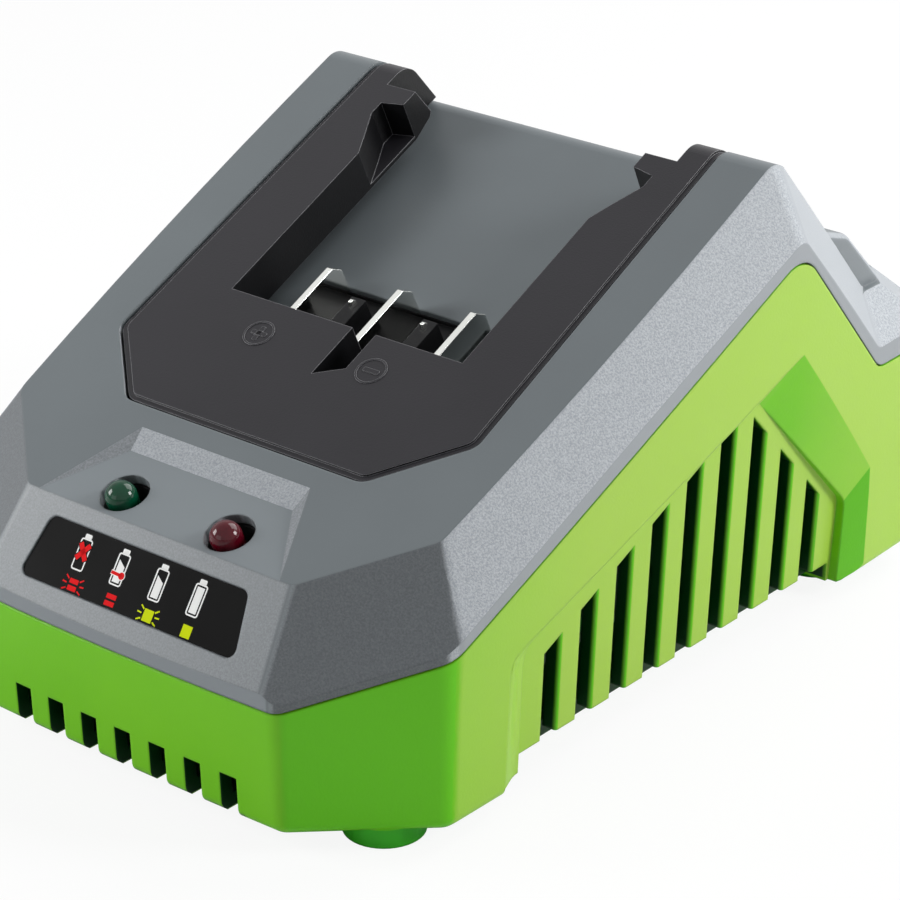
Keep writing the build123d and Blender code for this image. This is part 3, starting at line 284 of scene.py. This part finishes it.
# ---- Materials ----
class Nodes:
    """The node tree of a material or a world, emptied, with short calls for its nodes."""

    def __init__(self, owner):
        owner.use_nodes = True
        self.tree = owner.node_tree
        self.tree.nodes.clear()

    def node(self, kind, **settings):
        made = self.tree.nodes.new(kind)
        for setting, value in settings.items():
            setattr(made, setting, value)
        return made

    def link(self, source, target):
        self.tree.links.new(source, target)

    def feed(self, socket, value):
        """Links a socket to another one, or sets its value. A string is a hex colour code."""
        if isinstance(value, bpy.types.NodeSocket):
            self.link(value, socket)
        elif isinstance(value, str):
            socket.default_value = srgb(value)
        else:
            socket.default_value = value

    def filled(self, kind, **inputs):
        """A node with the given inputs, in whose names an underscore stands for a space."""
        made = self.node(kind)
        for name, value in inputs.items():
            self.feed(made.inputs[name.replace("_", " ")], value)
        return made

    def maths(self, operation, *values):
        made = self.node("ShaderNodeMath", operation=operation)
        for socket, value in zip(made.inputs, values):
            self.feed(socket, value)
        return made.outputs["Value"]

    def blend(self, factor, first, second):
        """Goes from the first shader node to the second."""
        made = self.node("ShaderNodeMixShader")
        for socket, source in zip(made.inputs, (factor, first.outputs[0], second.outputs[0])):
            self.link(source, socket)
        return made

    def show(self, kind, shader):
        """Links a shader node to a new output node."""
        self.link(shader.outputs[0], self.node(kind).inputs["Surface"])


class Finish(Nodes):
    """One material of the object, with short calls for what the finishes share."""

    def __init__(self, name, **inputs):
        self.material = bpy.data.materials.new(name)
        super().__init__(self.material)
        self.surface = self.filled("ShaderNodeBsdfPrincipled", **inputs)
        self.show("ShaderNodeOutputMaterial", self.surface)
        coordinates = self.node("ShaderNodeTexCoord")
        self.place = coordinates.outputs["Object"]
        self.facing = coordinates.outputs["Normal"]

    def noise(self, scale, detail=2.0, roughness=0.5, stretch=None):
        """Noise in the part's own space, with scale in features per metre."""
        place = self.place
        if stretch:
            place = self.filled("ShaderNodeMapping", Vector=place, Scale=stretch).outputs["Vector"]
        made = self.filled("ShaderNodeTexNoise", Vector=place, Scale=scale, Detail=detail,
                           Roughness=roughness)
        return made.outputs["Fac"]

    def span(self, value, low, high, to_low=0.0, to_high=1.0):
        """Maps low..high to to_low..to_high, held at the ends."""
        made = self.filled("ShaderNodeMapRange", Value=value, From_Min=low, From_Max=high,
                           To_Min=to_low, To_Max=to_high)
        return made.outputs["Result"]

    def fall(self, value, low, high):
        """One up to low, zero from high on."""
        return self.span(value, low, high, 1, 0)

    def between(self, value, low, high, soft=SOFT):
        """One from low to high, falling to zero over the soft width outside."""
        return self.overlap(self.span(value, low - soft, low), self.fall(value, high, high + soft))

    def overlap(self, first, *others):
        """One where every mask is one."""
        for mask in others:
            first = self.maths("MULTIPLY", first, mask)
        return first

    def mix(self, factor, first, second):
        """A colour between two. The node repeats its sockets' names, so they go by number."""
        made = self.node("ShaderNodeMix", data_type="RGBA")
        self.feed(made.inputs[0], factor)
        self.feed(made.inputs[6], first)
        self.feed(made.inputs[7], second)
        return made.outputs[2]

    def tinted(self, colour, *layers):
        """Lays colours over a first one, each by its mask."""
        for mask, layer in layers:
            colour = self.mix(mask, colour, layer)
        return colour

    def axes(self, vector):
        """A vector's length sideways, the same on both sides, then its parts along Y and Z."""
        parts = self.filled("ShaderNodeSeparateXYZ", Vector=vector).outputs
        return self.maths("ABSOLUTE", parts["X"]), parts["Y"], parts["Z"]

    def cosine(self, first, second):
        """Cosine of the angle between two directions."""
        made = self.node("ShaderNodeVectorMath", operation="DOT_PRODUCT")
        self.feed(made.inputs[0], first)
        self.feed(made.inputs[1], second)
        return made.outputs["Value"]

    def softened(self, radius):
        """The surface's direction as if its edges had the given radius."""
        made = self.node("ShaderNodeBevel", samples=BEVEL_SAMPLES)
        made.inputs["Radius"].default_value = radius
        return made.outputs["Normal"]

    def edges(self, radius):
        """One on edges and corners, zero on flat faces."""
        sharp = self.node("ShaderNodeNewGeometry").outputs["Normal"]
        return self.span(self.cosine(self.softened(radius), sharp), *EDGE_HIGHLIGHT_TURN)

    def bump(self, height, depth, edge=0.0):
        """Relief of the given depth in metres, over edges rounded to the given radius."""
        made = self.filled("ShaderNodeBump", Height=height, Distance=depth)
        if edge:
            self.link(self.softened(edge), made.inputs["Normal"])
        self.link(made.outputs["Normal"], self.surface.inputs["Normal"])

    def colour(self, value):
        self.feed(self.surface.inputs["Base Color"], value)

    def rough(self, value):
        self.feed(self.surface.inputs["Roughness"], value)

    def uneven(self, noise, low, high):
        """Roughness that goes from low to high with the noise."""
        self.rough(self.span(noise, *NOISE_RANGE, low, high))


def moulded(name, dark, light, rough, grain=GRAIN, depth=GRAIN_DEPTH, edge=0.0, **inputs):
    """Moulded plastic: slow colour drift, fine grain in its colour and relief, uneven gloss."""
    finish = Finish(name, **inputs)
    drift = finish.noise(DRIFT, detail=3)
    fine = finish.noise(grain)
    blend = finish.maths("ADD", finish.maths("MULTIPLY", drift, DRIFT_SHARE),
                         finish.maths("MULTIPLY", fine, 1 - DRIFT_SHARE))
    finish.colour(finish.mix(blend, dark, light))
    finish.uneven(drift, *rough)
    finish.bump(fine, depth, edge)
    return finish.material


def dock_finish():
    """Black satin dock, with painted shade on its upright walls and a thin painted highlight along its
    edges.
    """
    finish = Finish("dock_plastic", Specular_IOR_Level=0.25)
    # Painted shade on the dock's upright walls.
    level = finish.span(finish.cosine(finish.facing, MAIN_OUT), *DOCK_LEVEL)
    drift = finish.noise(DRIFT, detail=3)
    flat = finish.mix(drift, DOCK_DARK, DOCK_LIGHT)
    # Painted highlight along the dock's edges, and painted shade on its walls.
    finish.colour(finish.tinted(DOCK_WALL_SHADE, (level, flat), (finish.edges(0.16 * MM), DOCK_EDGE_HIGHLIGHT)))
    finish.uneven(drift, low=0.34, high=0.44)
    finish.bump(finish.noise(DOCK_GRAIN), GRAIN_DEPTH, edge=0.3 * MM)
    return finish.material


def opening_shade_mask(finish, across, along, height, rearward):
    """Mask of the painted shade: one in the side slots and front vents and behind them, zero on the
    outer faces.
    """
    grille = finish.maths("MULTIPLY_ADD", height, math.tan(DRAFT), GRILLE_X)
    behind = finish.span(finish.maths("SUBTRACT", grille, across), *BEHIND_GRILLE)
    slots = finish.overlap(behind, finish.between(along, *SLOTS_Y), finish.between(height, *SLOTS_Z))
    front, back = VENTS_Y
    inside = finish.maths("MAXIMUM", finish.span(along, front - VENT_SOFT, front),
                          finish.span(rearward, *REVEAL_REARWARD))
    vents = finish.overlap(finish.fall(across, VENTS_X, VENTS_X + SOFT),
                           finish.fall(along, back, back + VENT_SOFT),
                           finish.between(height, *VENTS_Z), inside)
    return finish.maths("ADD", slots, vents)


def housing_finish():
    """Green housing, with painted light and shade: a sheen on its sides, shading on its corners, flanks
    and feet, dark in its openings.
    """
    finish = Finish("green_plastic", Specular_IOR_Level=0.25)
    across, along, height = finish.axes(finish.place)
    sideways, rearward, upward = finish.axes(finish.facing)
    # Painted sheen on the sides, weaker towards the front.
    side = finish.overlap(finish.span(sideways, *SIDE_SIDEWAYS), finish.span(rearward, *SIDE_REARWARD),
                          finish.span(along, *SIDE_ALONG, SIDE_SHEEN_FRONT_SHARE, 1))
    # Painted shading on the corner chamfers.
    corner = finish.overlap(finish.span(sideways, *CORNER_SIDEWAYS),
                            finish.fall(rearward, *CORNER_REARWARD))
    # Painted shade on the flanks.
    flank = finish.overlap(finish.span(sideways, *FLANK_SIDEWAYS),
                           finish.fall(rearward, *FLANK_REARWARD),
                           finish.span(upward, *FLANK_UPWARD), finish.span(along, *FLANK_ALONG))
    # Painted shade on the foot.
    foot = finish.fall(height, *FOOT_HEIGHT)
    # Painted shade in the slots and vents and behind them.
    openings = opening_shade_mask(finish, across, along, height, rearward)
    drift = finish.noise(DRIFT, detail=3)
    plain = finish.mix(drift, GREEN_DARK, GREEN_LIGHT)
    finish.colour(finish.tinted(plain, (side, GREEN_SIDE_SHEEN), (corner, GREEN_CORNER_SHADING),
                                (flank, GREEN_FLANK_SHADE), (foot, GREEN_FOOT_SHADE), (openings, GREEN_OPENING_SHADE)))
    finish.uneven(drift, low=0.32, high=0.42)
    finish.bump(finish.noise(GRAIN), GRAIN_DEPTH, edge=0.6 * MM)
    return finish.material


def cover_finish():
    """Grey cover: satin slopes and seam strip, spark-eroded grain on the bevels and round edges, and
    painted light and shade: the lamp tray and seam strip lighter, the corner facets darker, the rear
    bevels in a flat lit grey.
    """
    finish = Finish("cover_plastic", Specular_IOR_Level=0.35)
    across, along, _ = finish.axes(finish.place)
    sideways, rearward, _ = finish.axes(finish.facing)
    strip = finish.overlap(finish.span(sideways, *STRIP_SIDEWAYS), finish.span(across, *STRIP_ACROSS))
    wall = finish.overlap(finish.span(sideways, *WALL_SIDEWAYS), finish.fall(across, *STRIP_ACROSS))
    bevels = finish.maths("SUBTRACT", finish.span(sideways, *BEVEL_SIDEWAYS),
                          finish.maths("ADD", strip, wall))
    # Painted shade on the front corner facets.
    facet = finish.overlap(bevels, finish.fall(rearward, *FACET_REARWARD))
    level = finish.fall(sideways, *LEVEL_SIDEWAYS)
    ledge = finish.overlap(level, finish.between(rearward, *LEDGE_REARWARD, LEDGE_SOFT))
    panel = finish.overlap(level, finish.between(rearward, *PANEL_REARWARD, PANEL_SOFT))
    front = finish.overlap(level, finish.fall(rearward, *FRONT_REARWARD))
    # Painted light on the lamp tray.
    tray = finish.overlap(level, finish.between(rearward, *TRAY_REARWARD, TRAY_SOFT),
                          finish.fall(along, *TRAY_ALONG))
    sparked = finish.maths("MAXIMUM", bevels, ledge)
    drift = finish.noise(COVER_DRIFT, detail=3)
    coarse = finish.noise(SPARK_GRAIN, detail=3, roughness=0.7)
    speckle = finish.span(coarse, *SPECKLE_RANGE)
    satin = finish.tinted(finish.mix(drift, COVER_DARK, COVER_LIGHT),
                          (tray, finish.mix(drift, TRAY_LIT_DARK, TRAY_LIT_LIGHT)),
                          (panel, finish.mix(speckle, PANEL_DARK, PANEL_LIGHT)),
                          # Painted light on the seam strip.
                          (front, FRONT_STRIP), (strip, SEAM_STRIP_LIT))
    sparks = finish.tinted(finish.mix(speckle, SPARK_DARK, SPARK_LIGHT),
                           (facet, finish.mix(speckle, FACET_SHADED_DARK, FACET_SHADED_LIGHT)),
                           # Painted light and shade on the bevels that turn to the rear.
                           (finish.span(rearward, *BACK_REARWARD), REAR_BEVEL_SHADING))
    finish.colour(finish.mix(sparked, satin, sparks))
    finish.rough(finish.span(sparked, 0, 1, to_low=0.4, to_high=0.6))
    fine = finish.maths("MULTIPLY", finish.noise(GRAIN), SATIN_SHARE)
    finish.bump(finish.mix(sparked, fine, coarse), SPARK_DEPTH, edge=0.5 * MM)
    return finish.material


def contact_finish():
    """Bright plated strip with faint drawing lines along the blade."""
    finish = Finish("contact_plate", Metallic=1.0)
    drawn = finish.noise(900, detail=3, roughness=0.6, stretch=(1, 0.06, 1))
    finish.colour(finish.mix(finish.noise(120, detail=3), CONTACT_DARK, CONTACT_LIGHT))
    finish.uneven(drawn, low=0.06, high=0.16)
    finish.bump(drawn, depth=0.003 * MM, edge=0.2 * MM)
    return finish.material


def resin_finish(name, dark, light):
    """Glossy tinted lamp resin with a faint cloud in its colour."""
    finish = Finish(name, Roughness=0.07, IOR=1.5, Specular_IOR_Level=0.28)
    finish.colour(finish.mix(finish.noise(700, detail=3), dark, light))
    finish.bump(finish.noise(500, detail=1), depth=0.003 * MM)
    return finish.material


def metal_finish(name, dark, light, rough, stretch=None):
    """Bare metal with a cloudy colour, and grain in its gloss and relief."""
    finish = Finish(name, Metallic=1.0)
    drawn = finish.noise(1400, detail=3, roughness=0.6, stretch=stretch)
    finish.colour(finish.mix(finish.noise(150, detail=3), dark, light))
    finish.uneven(drawn, *rough)
    finish.bump(drawn, depth=0.006 * MM)
    return finish.material


def board_finish():
    """Solder resist over copper tracks that show as slightly paler green."""
    finish = Finish("solder_resist", Roughness=0.3)
    tracks = finish.span(finish.noise(260, detail=0, stretch=(1, 3, 1)), *TRACK_RANGE)
    finish.colour(finish.mix(tracks, BOARD_PLAIN, BOARD_TRACK))
    finish.bump(tracks, depth=0.03 * MM)
    return finish.material


def winding_finish():
    """Enamelled wire, laid turn by turn."""
    finish = Finish("enamelled_wire", Metallic=0.8, Roughness=0.32)
    wave = finish.node("ShaderNodeTexWave", bands_direction="X")
    wave.inputs["Scale"].default_value = WIRE_BANDS
    finish.link(finish.place, wave.inputs["Vector"])
    turns = wave.outputs["Fac"]
    finish.colour(finish.mix(turns, WIRE_DARK, WIRE_LIGHT))
    finish.bump(turns, depth=0.12 * MM)
    return finish.material


def glass_finish():
    """Clear tube with a faint cloud in its colour."""
    finish = Finish("fuse_tube", Roughness=0.05, IOR=1.5, Transmission_Weight=0.9)
    finish.colour(finish.mix(finish.noise(300), GLASS_DARK, GLASS_LIGHT))
    finish.bump(finish.noise(900, detail=1), depth=0.002 * MM)
    return finish.material


def printed(name, dark, light):
    """Ink of a printed sign."""
    return moulded(name, dark, light, rough=(0.5, 0.6), grain=2000, depth=0.002 * MM,
                   Specular_IOR_Level=0.04)


FINISHES = {
    "green_housing": housing_finish(),
    "grey_cover": cover_finish(),
    "black_dock": dock_finish(),
    "label_film": moulded("label_film", "050505", "080808", rough=(0.4, 0.5), grain=2000,
                          depth=0.004 * MM, Specular_IOR_Level=0.03),
    "terminal_insulator": moulded("insulator_plastic", "0C0C0E", "141416", rough=(0.4, 0.5),
                                  edge=0.2 * MM, Specular_IOR_Level=0.2),
    "plated_contact": contact_finish(),
    "lamp_green": resin_finish("green_resin", "002A18", "034A30"),
    "lamp_red": resin_finish("red_resin", "3C010E", "5C0718"),
    "circuit_board": board_finish(),
    "ferrite": moulded("ferrite", "2A2A2C", "3C3C3F", rough=(0.55, 0.7), grain=4000,
                       depth=0.05 * MM),
    "bobbin": moulded("bobbin_plastic", "1C1C1E", "28282A", rough=(0.4, 0.5)),
    "copper_winding": winding_finish(),
    "capacitor_sleeve": moulded("shrink_sleeve", "10142E", "1B2246", rough=(0.2, 0.3)),
    "filter_box": moulded("cast_resin", "B99416", "D4AE2C", rough=(0.25, 0.35)),
    "heatsink": metal_finish("extruded_aluminium", "B5B8BC", "D5D8DB", rough=(0.3, 0.45),
                             stretch=(1, 1, 0.05)),
    "chip_body": moulded("moulded_epoxy", "151515", "202020", rough=(0.5, 0.6), grain=5000,
                         depth=0.03 * MM),
    "fuse_glass": glass_finish(),
    "header": moulded("header_plastic", "CFCBBB", "E2DFD2", rough=(0.35, 0.45)),
    "zinc_screw": metal_finish("zinc_plate", "9A9C9E", "C2C4C6", rough=(0.25, 0.4)),
}
PRINT_WHITE = printed("printed_white", "F0F0EE", "F8F8F6")
PRINT_RED = printed("printed_red", "DC0F14", "E81C20")
PRINT_LIME = printed("printed_lime", "CADA00", "D6E410")


def paint_nodes():
    """Gives each CAD node its slot's finish."""
    for subpart in frame["record"]["subparts"]:
        node = frame["nodes"][subpart["node"]]
        node.data.materials.clear()
        node.data.materials.append(FINISHES[subpart["material_slot"]])


# ---- Shapes that stand on a plane ----
class Mark:
    """Plates on one of the cover's planes, in that plane's own x and up, in millimetres."""

    def __init__(self, origin, up, out, floor):
        self.origin, self.up, self.out = origin, up, out
        self.floor = floor
        self.shape = bmesh.new()

    def point(self, x, y, height):
        return self.shape.verts.new(
            self.origin + Vector((x * MM, 0, 0)) + self.up * (y * MM)
            + self.out * ((self.floor + height) * MM))

    def loop(self, points, height):
        return [self.point(x, y, height) for x, y in points]

    def join(self, first, second):
        """Closes the strip between two loops of the same length."""
        for i in range(len(first)):
            j = (i + 1) % len(first)
            self.shape.faces.new((first[i], first[j], second[j], second[i]))

    def slab(self, points, height, bevel=0.0):
        """Plate with the given counter-clockwise outline, its top edge chamfered."""
        low = self.loop(points, 0)
        middle = self.loop(points, height - bevel)
        self.join(low, middle)
        if bevel:
            top = self.loop(shrink(points, bevel), height)
            self.join(middle, top)
            middle = top
        self.shape.faces.new(middle)
        self.shape.faces.new(low[::-1])

    def band(self, outer, inner, height):
        """Plate between two outlines of the same length."""
        loops = [self.loop(outer, 0), self.loop(outer, height),
                 self.loop(inner, height), self.loop(inner, 0)]
        for first, second in zip(loops, loops[1:] + loops[:1]):
            self.join(first, second)

    def done(self, name, slot, material=None):
        finished(self.shape, name, slot, material)


def finished(shape, name, slot, material=None):
    """Turns a shape into a piece of the object, in its slot's finish if no other is given."""
    mesh = bpy.data.meshes.new(name)
    bmesh.ops.recalc_face_normals(shape, faces=shape.faces[:])
    shape.to_mesh(mesh)
    shape.free()
    mesh.materials.append(material or FINISHES[slot])
    piece = bpy.data.objects.new(name, mesh)
    bpy.context.scene.collection.objects.link(piece)
    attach(piece, "root")


def shrink(points, amount):
    """A convex counter-clockwise outline moved inwards."""
    count = len(points)
    inner = []
    for i in range(count):
        before, here, after = (Vector(points[(i + k) % count]) for k in (-1, 0, 1))
        first = (here - before).normalized()
        second = (after - here).normalized()
        turned = Vector((-first.y - second.y, first.x + second.x))
        turned *= amount / max(turned.dot(Vector((-first.y, first.x))), TINY)
        inner.append(tuple(here + turned))
    return inner


def rounded(x, y, width, height, radius):
    """Counter-clockwise rectangle with round corners, given by its middle and size."""
    points = []
    for turn, (sx, sy) in enumerate(((1, 1), (-1, 1), (-1, -1), (1, -1))):
        cx, cy = x + sx * (width / 2 - radius), y + sy * (height / 2 - radius)
        for step in range(CORNER_STEPS + 1):
            angle = math.radians(90 * (turn + step / CORNER_STEPS))
            points.append((cx + radius * math.cos(angle), cy + radius * math.sin(angle)))
    return points


def circle(x, y, radius, count=CIRCLE_SIDES):
    """Counter-clockwise circle, given by its middle and radius."""
    turns = [2 * math.pi * i / count for i in range(count)]
    return [(x + radius * math.cos(a), y + radius * math.sin(a)) for a in turns]


def stroke(x0, y0, x1, y1, width):
    """Counter-clockwise outline of a straight line with the given width."""
    along = Vector((x1 - x0, y1 - y0)).normalized() * (width / 2)
    side = Vector((-along.y, along.x))
    a, b = Vector((x0, y0)), Vector((x1, y1))
    return [tuple(p) for p in (a - side, b - side, b + side, a + side)]


def spoke(x, y, turn, near, far, width):
    """Stroke on a line through a point, from one distance along that line to another."""
    a = math.radians(turn)
    return stroke(x + near * math.cos(a), y + near * math.sin(a),
                  x + far * math.cos(a), y + far * math.sin(a), width)


# ---- Printed signs ----
def label_mark():
    return Mark(PANEL_ORIGIN, PANEL_UP, PANEL_OUT, LABEL_FACE)


def battery(mark, x):
    """Outline of a battery with its cap."""
    middle = BATTERY_TOP - BATTERY_HEIGHT / 2
    outer = rounded(x, middle, BATTERY_WIDTH, BATTERY_HEIGHT, BATTERY_OUTER_CORNER)
    inner = rounded(x, middle, BATTERY_WIDTH - 2 * BATTERY_WALL, BATTERY_HEIGHT - 2 * BATTERY_WALL,
                    BATTERY_INNER_CORNER)
    mark.band(outer, inner, INK)
    mark.slab(rounded(x, BATTERY_TOP + CAP_RISE, CAP_WIDTH, CAP_HEIGHT, CAP_CORNER), INK)


def charge(mark, x, top_left, top_right):
    """Charge level of a battery."""
    low = BATTERY_TOP - BATTERY_HEIGHT + CHARGE_FOOT
    left = x - BATTERY_WIDTH / 2 + CHARGE_INSET
    right = x + BATTERY_WIDTH / 2 - CHARGE_INSET
    mark.slab([(left, low), (right, low), (right, top_right), (left, top_left)], INK)


def cross(mark, reach, width, height):
    """Cross over the first battery."""
    for turn in CROSS_TURNS:
        mark.slab(spoke(*CROSS_AT, turn, -reach, reach, width), height)


def thermometer(mark, bulb, end, width, height):
    """Thermometer across the second battery, its bulb to the right."""
    x, y = THERMOMETER_AT
    mark.slab(circle(x + BULB_SHIFT, y, bulb, BULB_SIDES), height)
    mark.slab(stroke(x + end, y + STEM_RISE, x + STEM_SHIFT, y, width), height)


def rays(mark, x):
    """Short strokes round a lamp sign that flashes."""
    for turn in RAY_TURNS:
        mark.slab(spoke(x, LAMP_SIGN_Y, turn, RAY_NEAR, RAY_FAR, RAY_WIDTH), INK)


def add_white_signs():
    """Four batteries with their charge levels, and the white behind the thermometer."""
    white = label_mark()
    for x in BATTERY_X:
        battery(white, x)
    for which, top_left, top_right in CHARGES:
        charge(white, BATTERY_X[which], top_left, top_right)
    thermometer(white, *THERMOMETER_WHITE, 2 * INK)
    white.done("sign_batteries", "label_film", PRINT_WHITE)


def add_gap():
    """Dark gap between the cross and the battery under it."""
    gap = label_mark()
    cross(gap, *CROSS_GAP, 2 * INK)
    gap.done("sign_gap", "label_film")


def add_red_signs():
    """Cross, thermometer and the red lamp's two signs."""
    red = label_mark()
    cross(red, *CROSS_RED, 3 * INK)
    thermometer(red, *THERMOMETER_RED, 3 * INK)
    for y in RED_BARS_Y:
        for x, width in (RED_STEADY, RED_FLASHING):
            red.slab(rounded(x, y, width, RED_BAR_HEIGHT, LAMP_SIGN_CORNER), INK)
    rays(red, RED_FLASHING[0])
    red.done("sign_red", "label_film", PRINT_RED)


def add_lime_signs():
    """The green lamp's two signs."""
    lime = label_mark()
    for x in (LIME_FLASHING, LIME_STEADY):
        lime.slab(rounded(x, LAMP_SIGN_Y, LIME_WIDTH, LIME_HEIGHT, LAMP_SIGN_CORNER), INK)
    rays(lime, LIME_FLASHING)
    lime.done("sign_lime", "label_film", PRINT_LIME)


# ---- Moulded forms ----
def add_polarity_signs():
    """Raised plus and minus in rings, moulded on the dock's front."""
    for name, x, y, bars in POLARITY_SIGNS:
        sign = Mark(MAIN_ORIGIN, MAIN_UP, MAIN_OUT, 0)
        sign.band(circle(x, y, RING_OUTER), circle(x, y, RING_INNER), RING_RISE)
        for width, height in bars:
            sign.slab(rounded(x, y, width, height, BAR_CORNER), BAR_RISE, BAR_BEVEL)
        sign.done(name, "black_dock")


def housing_face(side, y, z):
    """Where the housing's outer face lies at a place in the side view, as x."""
    node = frame["nodes"]["base_housing"]
    back = node.matrix_world.inverted()
    start = back @ Vector((side * OUTSIDE_X, y * MM, z * MM))
    place = node.ray_cast(start, back.to_3x3() @ Vector((-side, 0, 0)))[1]
    return (node.matrix_world @ place).x


def border_section(side, edge, foot):
    """Section of the rounded border: a soft fall from the wall to the slotted panel."""
    out_y, out_z = ((edge[k] - foot[k]) * BORDER_OVERRUN for k in (0, 1))
    wall = housing_face(side, edge[0] + out_y, edge[1] + out_z)
    grille = side * (GRILLE_X + foot[1] * MM * math.tan(DRAFT))
    low = max(grille, housing_face(side, *foot), key=abs)
    section = []
    for step in range(BORDER_STEPS + 1):
        t = step / BORDER_STEPS
        fall = t * t * (3 - 2 * t)
        section.append(Vector((wall + (low - wall) * fall,
                               (edge[0] + (foot[0] - edge[0]) * t) * MM,
                               (edge[1] + (foot[1] - edge[1]) * t) * MM)))
    return section + [Vector((low - side * BORDER_SUNK, y * MM, z * MM)) for y, z in (foot, edge)]


def run(name, slot, sections, smooth):
    """Closed piece through sections of the same length, smooth over the first points of each."""
    shape = bmesh.new()
    loops = [[shape.verts.new(point) for point in section] for section in sections]
    count = len(loops[0])
    for first, second in zip(loops, loops[1:]):
        for i in range(count):
            j = (i + 1) % count
            face = shape.faces.new((first[i], first[j], second[j], second[i]))
            face.smooth = i < smooth
    shape.faces.new(loops[0][::-1])
    shape.faces.new(loops[-1])
    for edge in shape.edges:
        edge.smooth = all(face.smooth for face in edge.link_faces)
    finished(shape, name, slot)


def add_recess_forms():
    """Soft front and top borders of the side recesses, and the sills behind their slots' feet."""
    for side, name in ((1, "right"), (-1, "left")):
        border = [border_section(side, edge, foot) for edge, foot in BORDER]
        run("recess_border_" + name, "green_housing", border, BORDER_STEPS)
        sill = [[Vector((side * x * MM, y * MM, z * MM)) for x, z in SILL] for y in SILL_Y]
        run("recess_sill_" + name, "green_housing", sill, 0)


def add_lamp_wells():
    """Dark sleeve that carries each lamp well down to the indicator board."""
    for name, x in (("lamp_well_left", -WELL_X), ("lamp_well_right", WELL_X)):
        sleeve = Mark(TRAY_ORIGIN, TRAY_UP, TRAY_OUT, WELL_FOOT)
        sleeve.band(circle(x, 0, WELL_RADIUS + WELL_WALL), circle(x, 0, WELL_RADIUS),
                    WELL_TOP - WELL_FOOT)
        sleeve.done(name, "bobbin")


# ---- Studio ----
def direction(azimuth, elevation):
    """From the object to a place round it: azimuth 0 is in front, and 90 on the right."""
    a, e = math.radians(azimuth), math.radians(elevation)
    return Vector((math.sin(a) * math.cos(e), -math.cos(a) * math.cos(e), math.sin(e)))


def placed(name, data, place, back):
    """A camera or lamp at a place, with the given direction behind it."""
    thing = bpy.data.objects.new(name, data)
    bpy.context.scene.collection.objects.link(thing)
    thing.location = place
    thing.rotation_mode = "QUATERNION"
    thing.rotation_quaternion = (-back).to_track_quat("-Z", "Y")
    return thing


def add_camera():
    """Camera of the main view, level from side to side."""
    data = bpy.data.cameras.new("camera")
    data.lens = LENS
    data.sensor_width = SENSOR_WIDTH
    data.clip_start = CLIP_START
    back = direction(CAMERA_AZIMUTH, CAMERA_ELEVATION)
    bpy.context.scene.camera = placed("camera", data, CAMERA_AT, back)


def add_softboxes():
    """Square area lamps that look at the object's middle."""
    for name, azimuth, elevation, distance, size, power in SOFTBOXES:
        data = bpy.data.lights.new(name, "AREA")
        data.shape = "SQUARE"
        data.size = size
        data.energy = power
        back = direction(azimuth, elevation)
        placed(name, data, back * distance + SOFTBOX_AIM, back)


def add_world():
    """Weak fill on the object, and white where the camera, glass or gloss sees the world."""
    world = bpy.data.worlds.new("studio")
    bpy.context.scene.world = world
    nodes = Nodes(world)
    fill = nodes.filled("ShaderNodeBackground", Color=FILL, Strength=FILL_STRENGTH)
    white = nodes.filled("ShaderNodeBackground", Color=WHITE, Strength=1.0)
    path = nodes.node("ShaderNodeLightPath").outputs
    direct = nodes.maths("MAXIMUM", path["Is Camera Ray"], path["Is Transmission Ray"])
    seen = nodes.maths("MAXIMUM", direct, path["Is Glossy Ray"])
    nodes.show("ShaderNodeOutputWorld", nodes.blend(seen, fill, white))


def add_floor():
    """Round paper floor, mostly plain white to the camera, with the object's shadow on it."""
    mesh = bpy.data.meshes.new("floor")
    shape = bmesh.new()
    bmesh.ops.create_circle(shape, cap_ends=True, segments=FLOOR_SIDES, radius=FLOOR_RADIUS)
    shape.to_mesh(mesh)
    shape.free()
    floor = bpy.data.objects.new("floor", mesh)
    bpy.context.scene.collection.objects.link(floor)
    material = bpy.data.materials.new("floor_white")
    nodes = Nodes(material)
    paper = nodes.filled("ShaderNodeBsdfDiffuse", Color=PAPER)
    glow = nodes.filled("ShaderNodeEmission", Strength=1.0)
    path = nodes.node("ShaderNodeLightPath").outputs
    seen = nodes.maths("MULTIPLY", path["Is Camera Ray"], FLOOR_GLOW)
    nodes.show("ShaderNodeOutputMaterial", nodes.blend(seen, paper, glow))
    mesh.materials.append(material)


paint_nodes()
add_white_signs()
add_gap()
add_red_signs()
add_lime_signs()
add_polarity_signs()
add_recess_forms()
add_lamp_wells()
add_camera()
add_world()
add_floor()
add_softboxes()
bpy.context.scene.view_settings.view_transform = "Standard"
